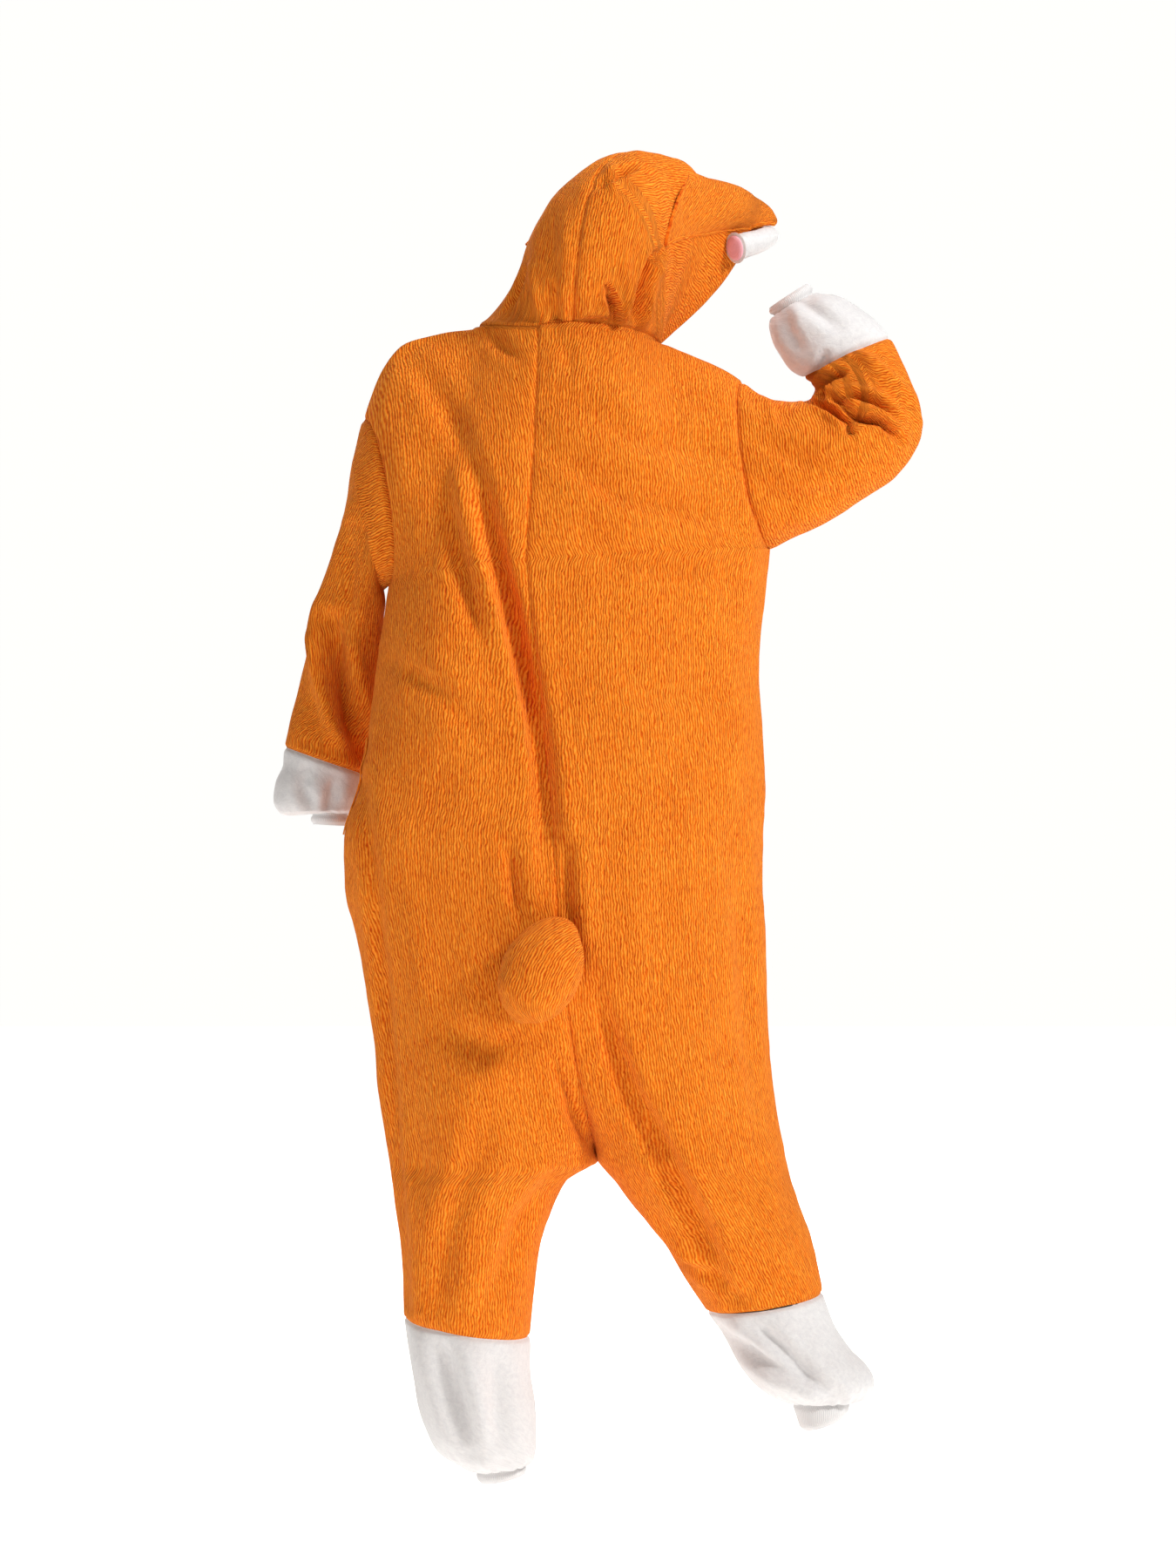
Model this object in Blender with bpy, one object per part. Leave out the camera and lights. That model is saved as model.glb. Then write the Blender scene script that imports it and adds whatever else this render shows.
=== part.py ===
"""A worn animal onesie: hooded one-piece suit with a padded snout, blouson cuffs and a stuffed tail.

Metres, +Z up. The wearer would face +Y, and +X is the wearer's right. The origin is the middle of the
shoulders, where the suit is carried. Every panel is a grid of points worked out from the tables below,
given a cloth wall on its inside, and parted from its neighbours by a seam gap.
"""
import math

import bmesh
import bpy
import numpy as np

WALL = 0.0025            # crinkled fleece
RIB_WALL = 0.0030        # doubled rib band
SEAM_GAP = 0.0003
LAY_GAP = 0.0004         # between a panel and what is sewn on it

UPPER_ROWS = 8           # armpit to shoulder, and half of an armhole
SHOULDER_COLS = 5
KEY_STEP = 1e-5          # points closer than this are one point
KEY_SHIFT = 3.7e-6
FOLDED_BACK = 0.80       # mean of unit normals below which two panels count as folded back
YOKE_EASE = 2            # rounds of smoothing across the yoke
SLEEVE_ROWS = 15
END_ROWS = 7
BAND_ROWS = 2
HOOD_COLS = 9

ORANGE = (0.90, 0.25, 0.018)
WHITE = (0.86, 0.86, 0.88)
PINK = (0.80, 0.42, 0.47)

# Trunk sections from the armpits to the crotch. z is the centre seam's height. The seams run at back_x and
# front_x, depth is how far the cloth stands from the side seams, turn is the angle that each quarter sweeps.
TRUNK = """
left_x  left_y  left_z  right_x right_y right_z z       back_x  front_x back_depth front_depth turn
-0.213  -0.015  -0.285  0.246   0.000   -0.243  -0.262  -0.047  0.055   0.135      0.120       90
-0.220  -0.028  -0.335  0.239   0.000   -0.310  -0.320  -0.041  0.052   0.138      0.122       90
-0.229  -0.032  -0.400  0.233   0.000   -0.390  -0.395  -0.033  0.048   0.140      0.125       90
-0.236  -0.032  -0.465  0.237   0.000   -0.460  -0.462  -0.028  0.044   0.142      0.128       90
-0.248  -0.030  -0.530  0.239   0.000   -0.530  -0.530  -0.020  0.040   0.145      0.130       90
-0.267  -0.025  -0.590  0.236   0.000   -0.590  -0.590  -0.015  0.036   0.148      0.132       90
-0.266  -0.020  -0.645  0.235   0.000   -0.645  -0.645  -0.011  0.032   0.150      0.132       90
-0.252  -0.015  -0.705  0.238   0.000   -0.705  -0.705  -0.009  0.030   0.150      0.130       92
-0.240  -0.010  -0.765  0.239   0.000   -0.765  -0.765  -0.002  0.030   0.146      0.128       98
-0.231  -0.006  -0.825  0.242   0.000   -0.825  -0.825  0.008   0.032   0.140      0.124       108
-0.224  -0.003  -0.880  0.248   0.000   -0.880  -0.880  0.018   0.034   0.133      0.120       124
-0.217  -0.001  -0.930  0.256   0.000   -0.930  -0.930  0.028   0.036   0.126      0.116       145
-0.213  0.000   -0.960  0.262   0.000   -0.960  -0.960  0.034   0.038   0.121      0.113       163
-0.210  0.000   -0.981  0.266   0.000   -0.981  -0.981  0.039   0.039   0.117      0.111       180
"""

# Trouser legs below the crotch: side seam, inseam, the section's middle and half depth.
LEFT_LEG = """
side_x  side_z  in_x    in_z    y       depth
-0.209  -0.993  0.011   -0.990  0.000   0.113
-0.207  -1.010  -0.004  -1.010  0.000   0.110
-0.204  -1.040  -0.019  -1.040  0.000   0.105
-0.200  -1.076  -0.031  -1.075  0.000   0.098
-0.197  -1.118  -0.038  -1.124  0.000   0.090
-0.196  -1.167  -0.044  -1.190  0.000   0.080
"""
RIGHT_LEG = """
side_x  side_z  in_x    in_z    y       depth
0.269   -0.995  0.053   -0.991  0.003   0.110
0.275   -1.012  0.067   -1.009  0.006   0.107
0.285   -1.040  0.089   -1.039  0.012   0.101
0.296   -1.071  0.114   -1.074  0.018   0.095
0.304   -1.105  0.142   -1.121  0.024   0.086
0.311   -1.141  0.170   -1.165  0.030   0.076
"""

# Tubes: each row is a ring through an outer and an inner point, with its middle and half depth in y.
LEFT_SLEEVE = """
out_x   out_z   in_x    in_z    y       depth
-0.260  -0.137  -0.234  -0.284  0.004   0.060
-0.270  -0.192  -0.2285 -0.303  0.015   0.058
-0.284  -0.252  -0.2225 -0.330  0.028   0.056
-0.301  -0.304  -0.2215 -0.357  0.039   0.054
-0.316  -0.357  -0.2250 -0.392  0.048   0.052
-0.329  -0.410  -0.231  -0.432  0.054   0.050
-0.339  -0.452  -0.240  -0.475  0.058   0.048
-0.345  -0.480  -0.247  -0.513  0.060   0.046
"""
LEFT_SLEEVE_END = """
out_x   out_z   in_x    in_z    y       depth
-0.345  -0.480  -0.247  -0.513  0.060   0.046
-0.346  -0.500  -0.250  -0.526  0.062   0.048
-0.355  -0.524  -0.252  -0.540  0.063   0.049
-0.357  -0.546  -0.255  -0.550  0.064   0.047
-0.346  -0.561  -0.258  -0.557  0.064   0.043
-0.322  -0.560  -0.263  -0.561  0.064   0.034
-0.313  -0.562  -0.265  -0.563  0.064   0.029
"""
LEFT_CUFF = """
out_x   out_z   in_x    in_z    y       depth
-0.313  -0.562  -0.265  -0.563  0.064   0.029
-0.313  -0.574  -0.265  -0.576  0.064   0.029
"""
RIGHT_SLEEVE = """
out_x   out_z   in_x    in_z    y       depth
0.270   -0.230  0.232   -0.055  0.000   0.078
0.300   -0.217  0.252   -0.065  -0.004  0.074
0.345   -0.193  0.272   -0.068  -0.008  0.070
0.386   -0.164  0.288   -0.067  -0.012  0.066
0.414   -0.134  0.297   -0.063  -0.014  0.062
0.427   -0.104  0.301   -0.056  -0.012  0.059
0.425   -0.070  0.303   -0.048  -0.006  0.057
0.413   -0.029  0.300   -0.040  0.004   0.054
0.392   0.015   0.288   -0.033  0.020   0.050
"""
RIGHT_SLEEVE_END = """
out_x   out_z   in_x    in_z    y       depth
0.392   0.015   0.288   -0.033  0.020   0.050
0.376   0.036   0.267   -0.014  0.028   0.052
0.346   0.056   0.251   0.010   0.036   0.050
0.323   0.069   0.246   0.030   0.042   0.042
0.309   0.072   0.248   0.041   0.046   0.034
0.302   0.074   0.251   0.045   0.048   0.030
"""
RIGHT_CUFF = """
out_x   out_z   in_x    in_z    y       depth
0.302   0.074   0.251   0.045   0.048   0.030
0.296   0.087   0.245   0.054   0.052   0.029
"""
LEFT_LEG_END = """
out_x   out_z   in_x    in_z    y       depth
-0.196  -1.167  -0.044  -1.190  0.000   0.080
-0.190  -1.212  -0.044  -1.232  0.001   0.080
-0.184  -1.260  -0.038  -1.272  0.003   0.079
-0.174  -1.302  -0.035  -1.312  0.006   0.076
-0.158  -1.334  -0.036  -1.334  0.010   0.066
-0.126  -1.352  -0.042  -1.344  0.014   0.046
-0.110  -1.356  -0.049  -1.347  0.016   0.036
"""
LEFT_ANKLE = """
out_x   out_z   in_x    in_z    y       depth
-0.110  -1.356  -0.049  -1.347  0.016   0.036
-0.107  -1.370  -0.047  -1.358  0.017   0.036
"""
RIGHT_LEG_END = """
out_x   out_z   in_x    in_z    y       depth
0.311   -1.141  0.170   -1.165  0.030   0.076
0.323   -1.178  0.195   -1.202  0.026   0.077
0.341   -1.208  0.211   -1.234  0.020   0.076
0.360   -1.229  0.227   -1.254  0.012   0.070
0.368   -1.246  0.247   -1.266  0.006   0.058
0.356   -1.263  0.266   -1.271  0.002   0.042
0.343   -1.266  0.272   -1.271  0.000   0.036
"""
RIGHT_ANKLE = """
out_x   out_z   in_x    in_z    y       depth
0.343   -1.266  0.272   -1.271  0.000   0.036
0.339   -1.283  0.282   -1.302  -0.006  0.035
"""

# The white tubes: table, rows, the point that each ring starts from, wall.
TUBES = [
    ("sleeve_end_left", LEFT_SLEEVE_END, END_ROWS, "in", WALL),
    ("cuff_left", LEFT_CUFF, BAND_ROWS, "in", RIB_WALL),
    ("sleeve_end_right", RIGHT_SLEEVE_END, END_ROWS, "out", WALL),
    ("cuff_right", RIGHT_CUFF, BAND_ROWS, "out", RIB_WALL),
    ("leg_end_left", LEFT_LEG_END, END_ROWS + 1, "out", WALL),
    ("ankle_left", LEFT_ANKLE, BAND_ROWS, "out", RIB_WALL),
    ("leg_end_right", RIGHT_LEG_END, END_ROWS + 1, "out", WALL),
    ("ankle_right", RIGHT_ANKLE, BAND_ROWS, "out", RIB_WALL),
]

# Yoke: shoulder seams from armhole to neck, and the armholes.
LEFT_SHOULDER = """
x       y       z
-0.245  0.000   -0.085
-0.235  0.000   -0.050
-0.221  0.000   -0.020
-0.198  0.000   0.006
-0.160  0.000   0.019
-0.108  0.003   0.026
"""
RIGHT_SHOULDER = """
x       y       z
0.215   0.000   -0.040
0.200   0.000   -0.028
0.180   0.000   -0.018
0.158   0.000   -0.010
0.136   0.001   -0.003
0.112   0.003   0.003
"""
ARMHOLE = {"left": (0.062, 0.018), "right": (0.078, -0.022)}      # half depth, dish towards the body

# Neck opening: an oval, its height by the angle from the back towards the wearer's right.
NECK_MIDDLE = (0.002, 0.003)
NECK_HALF = (0.110, 0.088)
NECK_HEIGHT = """
angle   z
-195    -0.045
-140    -0.012
-90     0.026
-19     0.019
4       0.022
50      0.014
90      0.003
130     -0.018
165     -0.045
"""
BACK_ANGLE = -19         # where the centre back seam meets the neck
NAPE_ANGLE = 4           # where the hood's centre seam meets it
FRONT_ANGLE = 165
NECK_STEPS = {"back_left": 5, "nape": 1, "back_right": 6, "front_right": 6, "front_left": 6}

# Hood: sections from the nape over the crown to the forehead, by place, 0 to 1. seam_ is the centre seam,
# width_ how far the cloth stands from it on each side, yaw the section's turn to the wearer's right, end the
# angle that its arc sweeps (both in degrees), cheek how far the arc bulges forwards.
HOOD = """
place   seam_x  seam_y  seam_z  width_right width_left  yaw end cheek
0.00    0.009   -0.085  0.022   0.000       0.000       15  90  0.000
0.12    0.011   -0.106  0.060   0.050       0.048       18  95  0.000
0.24    0.016   -0.120  0.112   0.085       0.080       22  103 0.000
0.36    0.026   -0.113  0.163   0.103       0.098       28  110 0.000
0.48    0.045   -0.082  0.207   0.112       0.105       34  112 0.000
0.60    0.080   -0.035  0.231   0.112       0.106       40  112 0.004
0.70    0.117   0.010   0.228   0.108       0.104       46  112 0.006
0.80    0.148   0.050   0.211   0.105       0.102       50  114 0.010
0.90    0.181   0.088   0.190   0.102       0.099       52  119 0.014
1.00    0.208   0.122   0.168   0.098       0.095       52  126 0.016
"""
HOOD_AXIS = np.array([0.060, 0.010])      # about which the neck flares
HOOD_NARROW = 0.64                        # hood's foot before the flare, as a share of the neck's size

# Snout: a padded visor sewn over the hood's front. Its base seam lies at these places of the hood.
SNOUT_BASE_TOP = 0.745
SNOUT_BASE_SIDE = 0.475
SNOUT_HALF_ANGLE = (69.0, 28.0)           # how far round the hood it reaches, at its base and its front edge
SNOUT_YAW = 52.0
SNOUT_REACH = 0.055                       # past the hood's edge
SNOUT_LOFT = 0.040                        # padding over the hood
SNOUT_RISE = 0.012                        # of its tip
SNOUT_EASE = 8                            # rounds of smoothing of its padding's direction
SNOUT_TIP_THIN = 0.72                     # how much the padding thins to its tip
SNOUT_SIDE_LOFT = 0.14                    # padding at its side edges, as a share of the middle's
SNOUT_SIDES_EASE = 2.2                    # how late its sides draw in over the hood
SNOUT_TIP_ROUND = (0.93, 2.6)             # how far and how sharply the tongue's sides draw in
SNOUT_TIP_FLAT = 0.6                      # and how fast the tongue flattens
SNOUT_TIP_BOW = 0.10                      # share of the reach that its middle runs ahead by
SNOUT_GAPS = (0.0030, 0.0016, 0.0014)      # over the hood: far edge, middle, near edge
SNOUT_ROWS = 10
SNOUT_TIP_ROWS = 5
SNOUT_COLS = 16

# White lip round the snout's rim, from the near end to the tip: place in the snout's own frame, radius.
LIP = """
forward side    z       radius
-0.054  0.068   0.127   0.0155
-0.034  0.064   0.133   0.0150
-0.010  0.056   0.140   0.0142
0.010   0.045   0.147   0.0134
0.028   0.031   0.153   0.0126
0.040   0.015   0.157   0.0120
0.044   0.000   0.158   0.0118
"""
LIP_SIDES = 10
LIP_ROWS = 21
LIP_END_THICK = 0.004
LIP_FAR_EASE = 0.024                      # the hood is fuller on its far side

FOLD_END = 0.06                           # share of a fold's length kept at each end
FOLD_FADE = 0.6                           # how fast it fades towards them
FOLD_REACH = 0.06                         # from the panel's edge to a fold's full depth
FOLD_START = (0.0, 0.3, 0.7)              # share of it in the panel's first rows
# Largest folds: a path in x and z, on the back (-1) or front (+1), depth and half width.
FOLDS = [
    ("beside_back_seam", -1, [(-0.108, -0.15), (-0.087, -0.24), (-0.066, -0.33), (-0.034, -0.47), (-0.020, -0.66)],
     0.016, 0.026),
    ("left_back_drag", -1, [(-0.140, -0.18), (-0.118, -0.29), (-0.105, -0.36)], 0.008, 0.026),
    ("right_back_drag", -1, [(-0.020, -0.12), (0.070, -0.18), (0.190, -0.21)], 0.006, 0.030),
    ("right_of_tail", -1, [(0.022, -0.72), (0.034, -0.78), (0.056, -0.85), (0.100, -0.94), (0.150, -1.02),
                           (0.215, -1.12)], 0.012, 0.026),
    ("left_of_tail", -1, [(-0.090, -0.82), (-0.040, -0.88), (0.010, -0.93)], 0.010, 0.028),
    ("left_side_crease", -1, [(-0.225, -0.60), (-0.205, -0.85), (-0.180, -1.08)], 0.008, 0.022),
    ("right_flank", -1, [(0.190, -0.70), (0.195, -0.90), (0.235, -1.08)], 0.006, 0.026),
    ("front_drag_left", 1, [(-0.120, -0.25), (-0.070, -0.45), (-0.020, -0.66)], 0.010, 0.030),
    ("front_drag_right", 1, [(0.150, -0.30), (0.120, -0.50), (0.060, -0.75)], 0.009, 0.028),
    ("front_lap", 1, [(-0.130, -0.80), (0.020, -0.90), (0.160, -0.82)], 0.009, 0.030),
]

# Tail: rings from its root on the centre seam to its tip.
TAIL = """
x       y       z       width   depth
-0.010  -0.1514 -0.694  0.010   0.009
-0.009  -0.1634 -0.697  0.025   0.020
-0.016  -0.1774 -0.714  0.040   0.031
-0.026  -0.1854 -0.738  0.047   0.036
-0.038  -0.1874 -0.763  0.044   0.034
-0.049  -0.1834 -0.785  0.029   0.023
-0.055  -0.1804 -0.797  0.008   0.008
"""
TAIL_ROWS = 11
TAIL_SIDES = 14

PLACKET_HALF = 0.019
PLACKET_WALL = 0.002
PLACKET_LIFT = 0.0012                     # clear of the centre seam's bend
PLACKET_MIDDLE = 2                        # its middle column
PLACKET_ROWS = (1, 15)                    # rows of the front panel that it covers
BUTTON_COUNT = 6
BUTTON_FIRST = 0.7                        # of a step from the top
BUTTON_RADIUS = 0.009
BUTTON_THICK = 0.0035
BUTTON_LIFT = 0.0004
BUTTON_SIDES = 14
BUTTON_PROFILE = [(0.90, 0.0), (1.0, 0.35), (1.0, 0.70), (0.86, 1.0)]      # shares of radius and thickness
WELT_ROWS = (11, 14)                      # rows of the left back panel beside the pocket
WELT_HALF = 0.006
WELT_OFFSET = 0.014                       # from the side seam
WELT_WALL = 0.002


def table(text):
    """Read a table of named columns into a dictionary of arrays."""
    lines = [line.split() for line in text.strip().splitlines()]
    return {name: np.array([float(row[i]) for row in lines[1:]]) for i, name in enumerate(lines[0])}


def smooth(knots, values, at):
    """Values on a smooth monotone-tangent curve through the knots."""
    knots = np.asarray(knots, float)
    values = np.asarray(values, float)
    at = np.asarray(at, float)
    steps = np.diff(knots)
    slopes = np.diff(values) / steps
    tangents = np.zeros(len(knots))
    tangents[0] = slopes[0]
    tangents[-1] = slopes[-1]
    for i in range(1, len(knots) - 1):
        if slopes[i - 1] * slopes[i] > 0:
            tangents[i] = 2 * slopes[i - 1] * slopes[i] / (slopes[i - 1] + slopes[i])
        else:
            tangents[i] = (slopes[i - 1] + slopes[i]) / 4
    spot = np.clip(np.searchsorted(knots, at, side="right") - 1, 0, len(steps) - 1)
    h = steps[spot]
    s = (at - knots[spot]) / h
    return ((2 * s**3 - 3 * s**2 + 1) * values[spot] + (s**3 - 2 * s**2 + s) * h * tangents[spot]
            + (3 * s**2 - 2 * s**3) * values[spot + 1] + (s**3 - s**2) * h * tangents[spot + 1])


def resample(columns, count):
    """The table's rows, read smoothly at count even steps."""
    rows = len(next(iter(columns.values())))
    knots = np.arange(rows)
    at = np.linspace(0, rows - 1, count)
    return {name: smooth(knots, values, at) for name, values in columns.items()}


def unit(vectors):
    length = np.linalg.norm(vectors, axis=-1, keepdims=True)
    return vectors / np.maximum(length, 1e-12)


# Body

def neck_point(angle):
    heights = table(NECK_HEIGHT)
    z = smooth(heights["angle"], heights["z"], angle)
    turn = np.radians(angle)
    return np.stack([NECK_MIDDLE[0] + NECK_HALF[0] * np.sin(turn),
                     NECK_MIDDLE[1] - NECK_HALF[1] * np.cos(turn), z], -1)


def panel_columns(panel):
    return SHOULDER_COLS + len(neck_angles(panel)) - 1


def neck_angles(panel):
    """The angles at which a body panel's top edge and the hood share points, from shoulder to centre."""
    steps = NECK_STEPS
    if panel == "back_left":
        return np.linspace(-90, BACK_ANGLE, steps["back_left"] + 1)
    if panel == "front_left":
        return np.linspace(-90, FRONT_ANGLE - 360, steps["front_left"] + 1)
    if panel == "front_right":
        return np.linspace(90, FRONT_ANGLE, steps["front_right"] + 1)
    first = np.linspace(90, NAPE_ANGLE, steps["back_right"] + 1)
    last = np.linspace(NAPE_ANGLE, BACK_ANGLE, steps["nape"] + 1)
    return np.concatenate([first, last[1:]])


def shoulder_edge(side):
    rows = table(LEFT_SHOULDER if side == "left" else RIGHT_SHOULDER)
    return np.stack([resample(rows, SHOULDER_COLS + 1)[name] for name in "xyz"], -1)


def armhole_edge(side, face):
    """From the armpit up to the shoulder point, round the back (-1) or the front (+1)."""
    trunk = table(TRUNK)
    bottom = np.array([trunk[side + "_x"][0], trunk[side + "_y"][0], trunk[side + "_z"][0]])
    top = shoulder_edge(side)[0]
    depth, dish = ARMHOLE[side]
    turn = np.linspace(0, math.pi, UPPER_ROWS + 1)[:, None]
    middle = (bottom + top) / 2
    loop = middle + (bottom - middle) * np.cos(turn)
    loop = loop + np.array([dish, face * depth, 0]) * np.sin(turn)
    return loop


def trunk_arc(side, face, row, fractions):
    """A quarter section from the side seam to the centre seam."""
    end = math.radians(row["turn"])
    start = np.array([row[side + "_x"], row[side + "_y"], row[side + "_z"]])
    seam_x = row["back_x"] if face < 0 else row["front_x"]
    depth = row["back_depth"] if face < 0 else row["front_depth"]
    seam_y = face * depth * math.sin(end)
    turn = end * fractions
    share = (1 - np.cos(turn)) / (1 - math.cos(end))
    x = start[0] + (seam_x - start[0]) * share
    z = start[2] + (row["z"] - start[2]) * share
    if math.sin(end) > 0.02:
        y = start[1] * (1 - share) + seam_y * np.sin(turn) / math.sin(end)
    else:
        y = start[1] * (1 - share) + face * depth * np.sin(turn)
    return np.stack([x, y, z], -1)


def leg_arc(row, face, fractions):
    turn = math.pi * fractions
    share = (1 - np.cos(turn)) / 2
    x = row["side_x"] + (row["in_x"] - row["side_x"]) * share
    z = row["side_z"] + (row["in_z"] - row["side_z"]) * share
    return np.stack([x, row["y"] + face * row["depth"] * np.sin(turn), z], -1)


def body_panel(panel):
    """Grid of a body panel, rows from the shoulder to the leg hem, columns from side to centre."""
    face = -1 if panel.startswith("back") else 1
    side = panel.split("_")[1]
    necks = neck_angles(panel)
    top = np.concatenate([shoulder_edge(side), neck_point(necks)[1:]])
    columns = len(top) - 1
    fractions = np.linspace(0, 1, columns + 1)
    trunk = table(TRUNK)
    rows = [{name: values[i] for name, values in trunk.items()} for i in range(len(trunk["z"]))]
    bottom = trunk_arc(side, face, rows[0], fractions)
    side_edge = armhole_edge(side, face)
    rise = np.linspace(0, 1, UPPER_ROWS + 1)
    centre_edge = centre_seam(bottom[-1], top[-1], rise)
    upper = relax(coons(bottom, top, side_edge, centre_edge), YOKE_EASE)
    lower = [trunk_arc(side, face, row, fractions) for row in rows[1:]]
    leg = table(LEFT_LEG if side == "left" else RIGHT_LEG)
    legs = [leg_arc({name: values[i] for name, values in leg.items()}, face, fractions)
            for i in range(len(leg["y"]))]
    grid = np.concatenate([upper[::-1], np.array(lower), np.array(legs)])
    return fold(grid, face)


def centre_seam(bottom, top, rise):
    """The centre seam above the armpits: near upright, then over towards the neck."""
    z = bottom[2] + (top[2] - bottom[2]) * rise
    y = bottom[1] + (top[1] - bottom[1]) * rise**2.2
    x = bottom[0] + (top[0] - bottom[0]) * np.sin(rise * math.pi / 2)
    return np.stack([x, y, z], -1)


def coons(bottom, top, left, right):
    """A patch over four edges: rows from bottom to top, columns from left to right."""
    v = np.linspace(0, 1, len(left))[:, None, None]
    u = np.linspace(0, 1, len(bottom))[None, :, None]
    across = (1 - v) * bottom[None] + v * top[None]
    along = (1 - u) * left[:, None] + u * right[:, None]
    corners = ((1 - u) * (1 - v) * bottom[0] + u * (1 - v) * bottom[-1]
               + (1 - u) * v * top[0] + u * v * top[-1])
    return across + along - corners


def distance_to_path(x, z, path):
    """Distance to a polyline and how far along it, 0 to 1."""
    path = np.array(path)
    pieces = np.diff(path, axis=0)
    lengths = np.linalg.norm(pieces, axis=1)
    run = np.concatenate([[0], np.cumsum(lengths)])
    best = np.full(x.shape, np.inf)
    share = np.zeros(x.shape)
    for start, piece, length, before in zip(path[:-1], pieces, lengths, run):
        t = np.clip(((x - start[0]) * piece[0] + (z - start[1]) * piece[1]) / length**2, 0, 1)
        gap = np.hypot(x - start[0] - t * piece[0], z - start[1] - t * piece[1])
        closer = gap < best
        best = np.where(closer, gap, best)
        share = np.where(closer, (before + t * length) / run[-1], share)
    return best, share


def fold(grid, face):
    """Press the folds into the cloth, towards the inside."""
    push = np.zeros(grid.shape[:2])
    for name, where, path, depth, half in FOLDS:
        if where != face:
            continue
        gap, along = distance_to_path(grid[..., 0], grid[..., 2], path)
        fade = np.sin(math.pi * np.clip(along, FOLD_END, 1 - FOLD_END))**FOLD_FADE
        push = push + depth * np.exp(-(gap / half)**2) * fade
    away = np.clip(np.abs(grid[..., 1] - grid[:, :1, 1]) / FOLD_REACH, 0, 1)
    away[:len(FOLD_START)] *= np.array(FOLD_START)[:, None]
    grid = grid.copy()
    grid[..., 1] -= face * push * away
    return grid


# Tubes

def ring(row, turns, first):
    """A ring through the row's inner and outer points, from the first of them over the back."""
    ends = {"in": np.array([row["in_x"], row["y"], row["in_z"]]),
            "out": np.array([row["out_x"], row["y"], row["out_z"]])}
    middle = (ends["in"] + ends["out"]) / 2
    return (middle + (ends[first] - middle) * np.cos(turns)[:, None]
            + np.array([0, -row["depth"], 0]) * np.sin(turns)[:, None])


def tube(text, count, turns, first):
    rows = resample(table(text), count)
    return np.array([ring({name: values[i] for name, values in rows.items()}, turns, first)
                     for i in range(count)])


def sleeve_turns():
    return np.arange(2 * UPPER_ROWS) / UPPER_ROWS * math.pi


def leg_turns(side):
    """The angles of a leg's columns, so that hem and leg end share their points."""
    back = np.linspace(0, math.pi, panel_columns("back_" + side) + 1)
    front = np.linspace(math.pi, 2 * math.pi, panel_columns("front_" + side) + 1)
    return np.concatenate([back[:-1], front[:-1]])


def armhole_ring(side):
    """The armhole as a ring: from the armpit up the back to the shoulder point and down the front."""
    back = armhole_edge(side, -1)
    front = armhole_edge(side, 1)
    return np.concatenate([back[:-1], front[:0:-1]])


def sleeve(side):
    text, first = (LEFT_SLEEVE, "in") if side == "left" else (RIGHT_SLEEVE, "out")
    return np.concatenate([armhole_ring(side)[None], tube(text, SLEEVE_ROWS, sleeve_turns(), first)])


# Hood

def hood_angles(side):
    """Neck angles of the hood's rows, shared with the body's neck points."""
    if side == "left":
        return np.concatenate([[NAPE_ANGLE], neck_angles("back_left")[::-1], neck_angles("front_left")[1:]])
    return np.concatenate([neck_angles("back_right")[:-NECK_STEPS["nape"]][::-1],
                           neck_angles("front_right")[1:]])


def hood_arc(side, place, degrees):
    """Points of one hood section at the given angles from the centre seam; the last may be its end."""
    hood = table(HOOD)
    row = {name: float(smooth(hood["place"], values, place)) for name, values in hood.items()}
    angles = hood_angles(side)
    foot = neck_point(np.interp(place, np.linspace(0, 1, len(angles)), angles)[None])[0]
    slim = foot.copy()
    slim[:2] = HOOD_AXIS + (foot[:2] - HOOD_AXIS) * (1 + (HOOD_NARROW - 1) * min(1, place / 0.3))
    seam = np.array([row["seam_x"], row["seam_y"], row["seam_z"]])
    yaw = math.radians(row["yaw"])
    sign = 1 if side == "right" else -1
    sideways = sign * np.array([math.cos(yaw), -math.sin(yaw), 0]) * row["width_" + side]
    forwards = np.array([math.sin(yaw), math.cos(yaw), 0]) * row["cheek"]
    end = math.radians(row["end"])
    turn = end * np.asarray(degrees, float)[:, None]
    share = (1 - np.cos(turn)) / (1 - math.cos(end))
    rest = slim - seam - sideways * math.sin(end)
    return (seam + rest * share + sideways * np.sin(turn) + (foot - slim) * share**4
            + forwards * np.sin(math.pi * share))


def hood_panel(side):
    """Rows from the nape to the face edge, columns from the centre seam to the neck seam."""
    places = np.linspace(0, 1, len(hood_angles(side)))
    grid = np.array([hood_arc(side, place, np.linspace(0, 1, HOOD_COLS + 1)) for place in places])
    grid[0] = grid[0, 0]
    return grid


# Snout

def snout_frame():
    """The hood's front edge at the centre seam, and the directions forwards and to the wearer's right."""
    yaw = math.radians(SNOUT_YAW)
    edge = hood_arc("right", 1.0, [0.0])[0]
    return edge, np.array([math.sin(yaw), math.cos(yaw), 0]), np.array([math.cos(yaw), -math.sin(yaw), 0])


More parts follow.
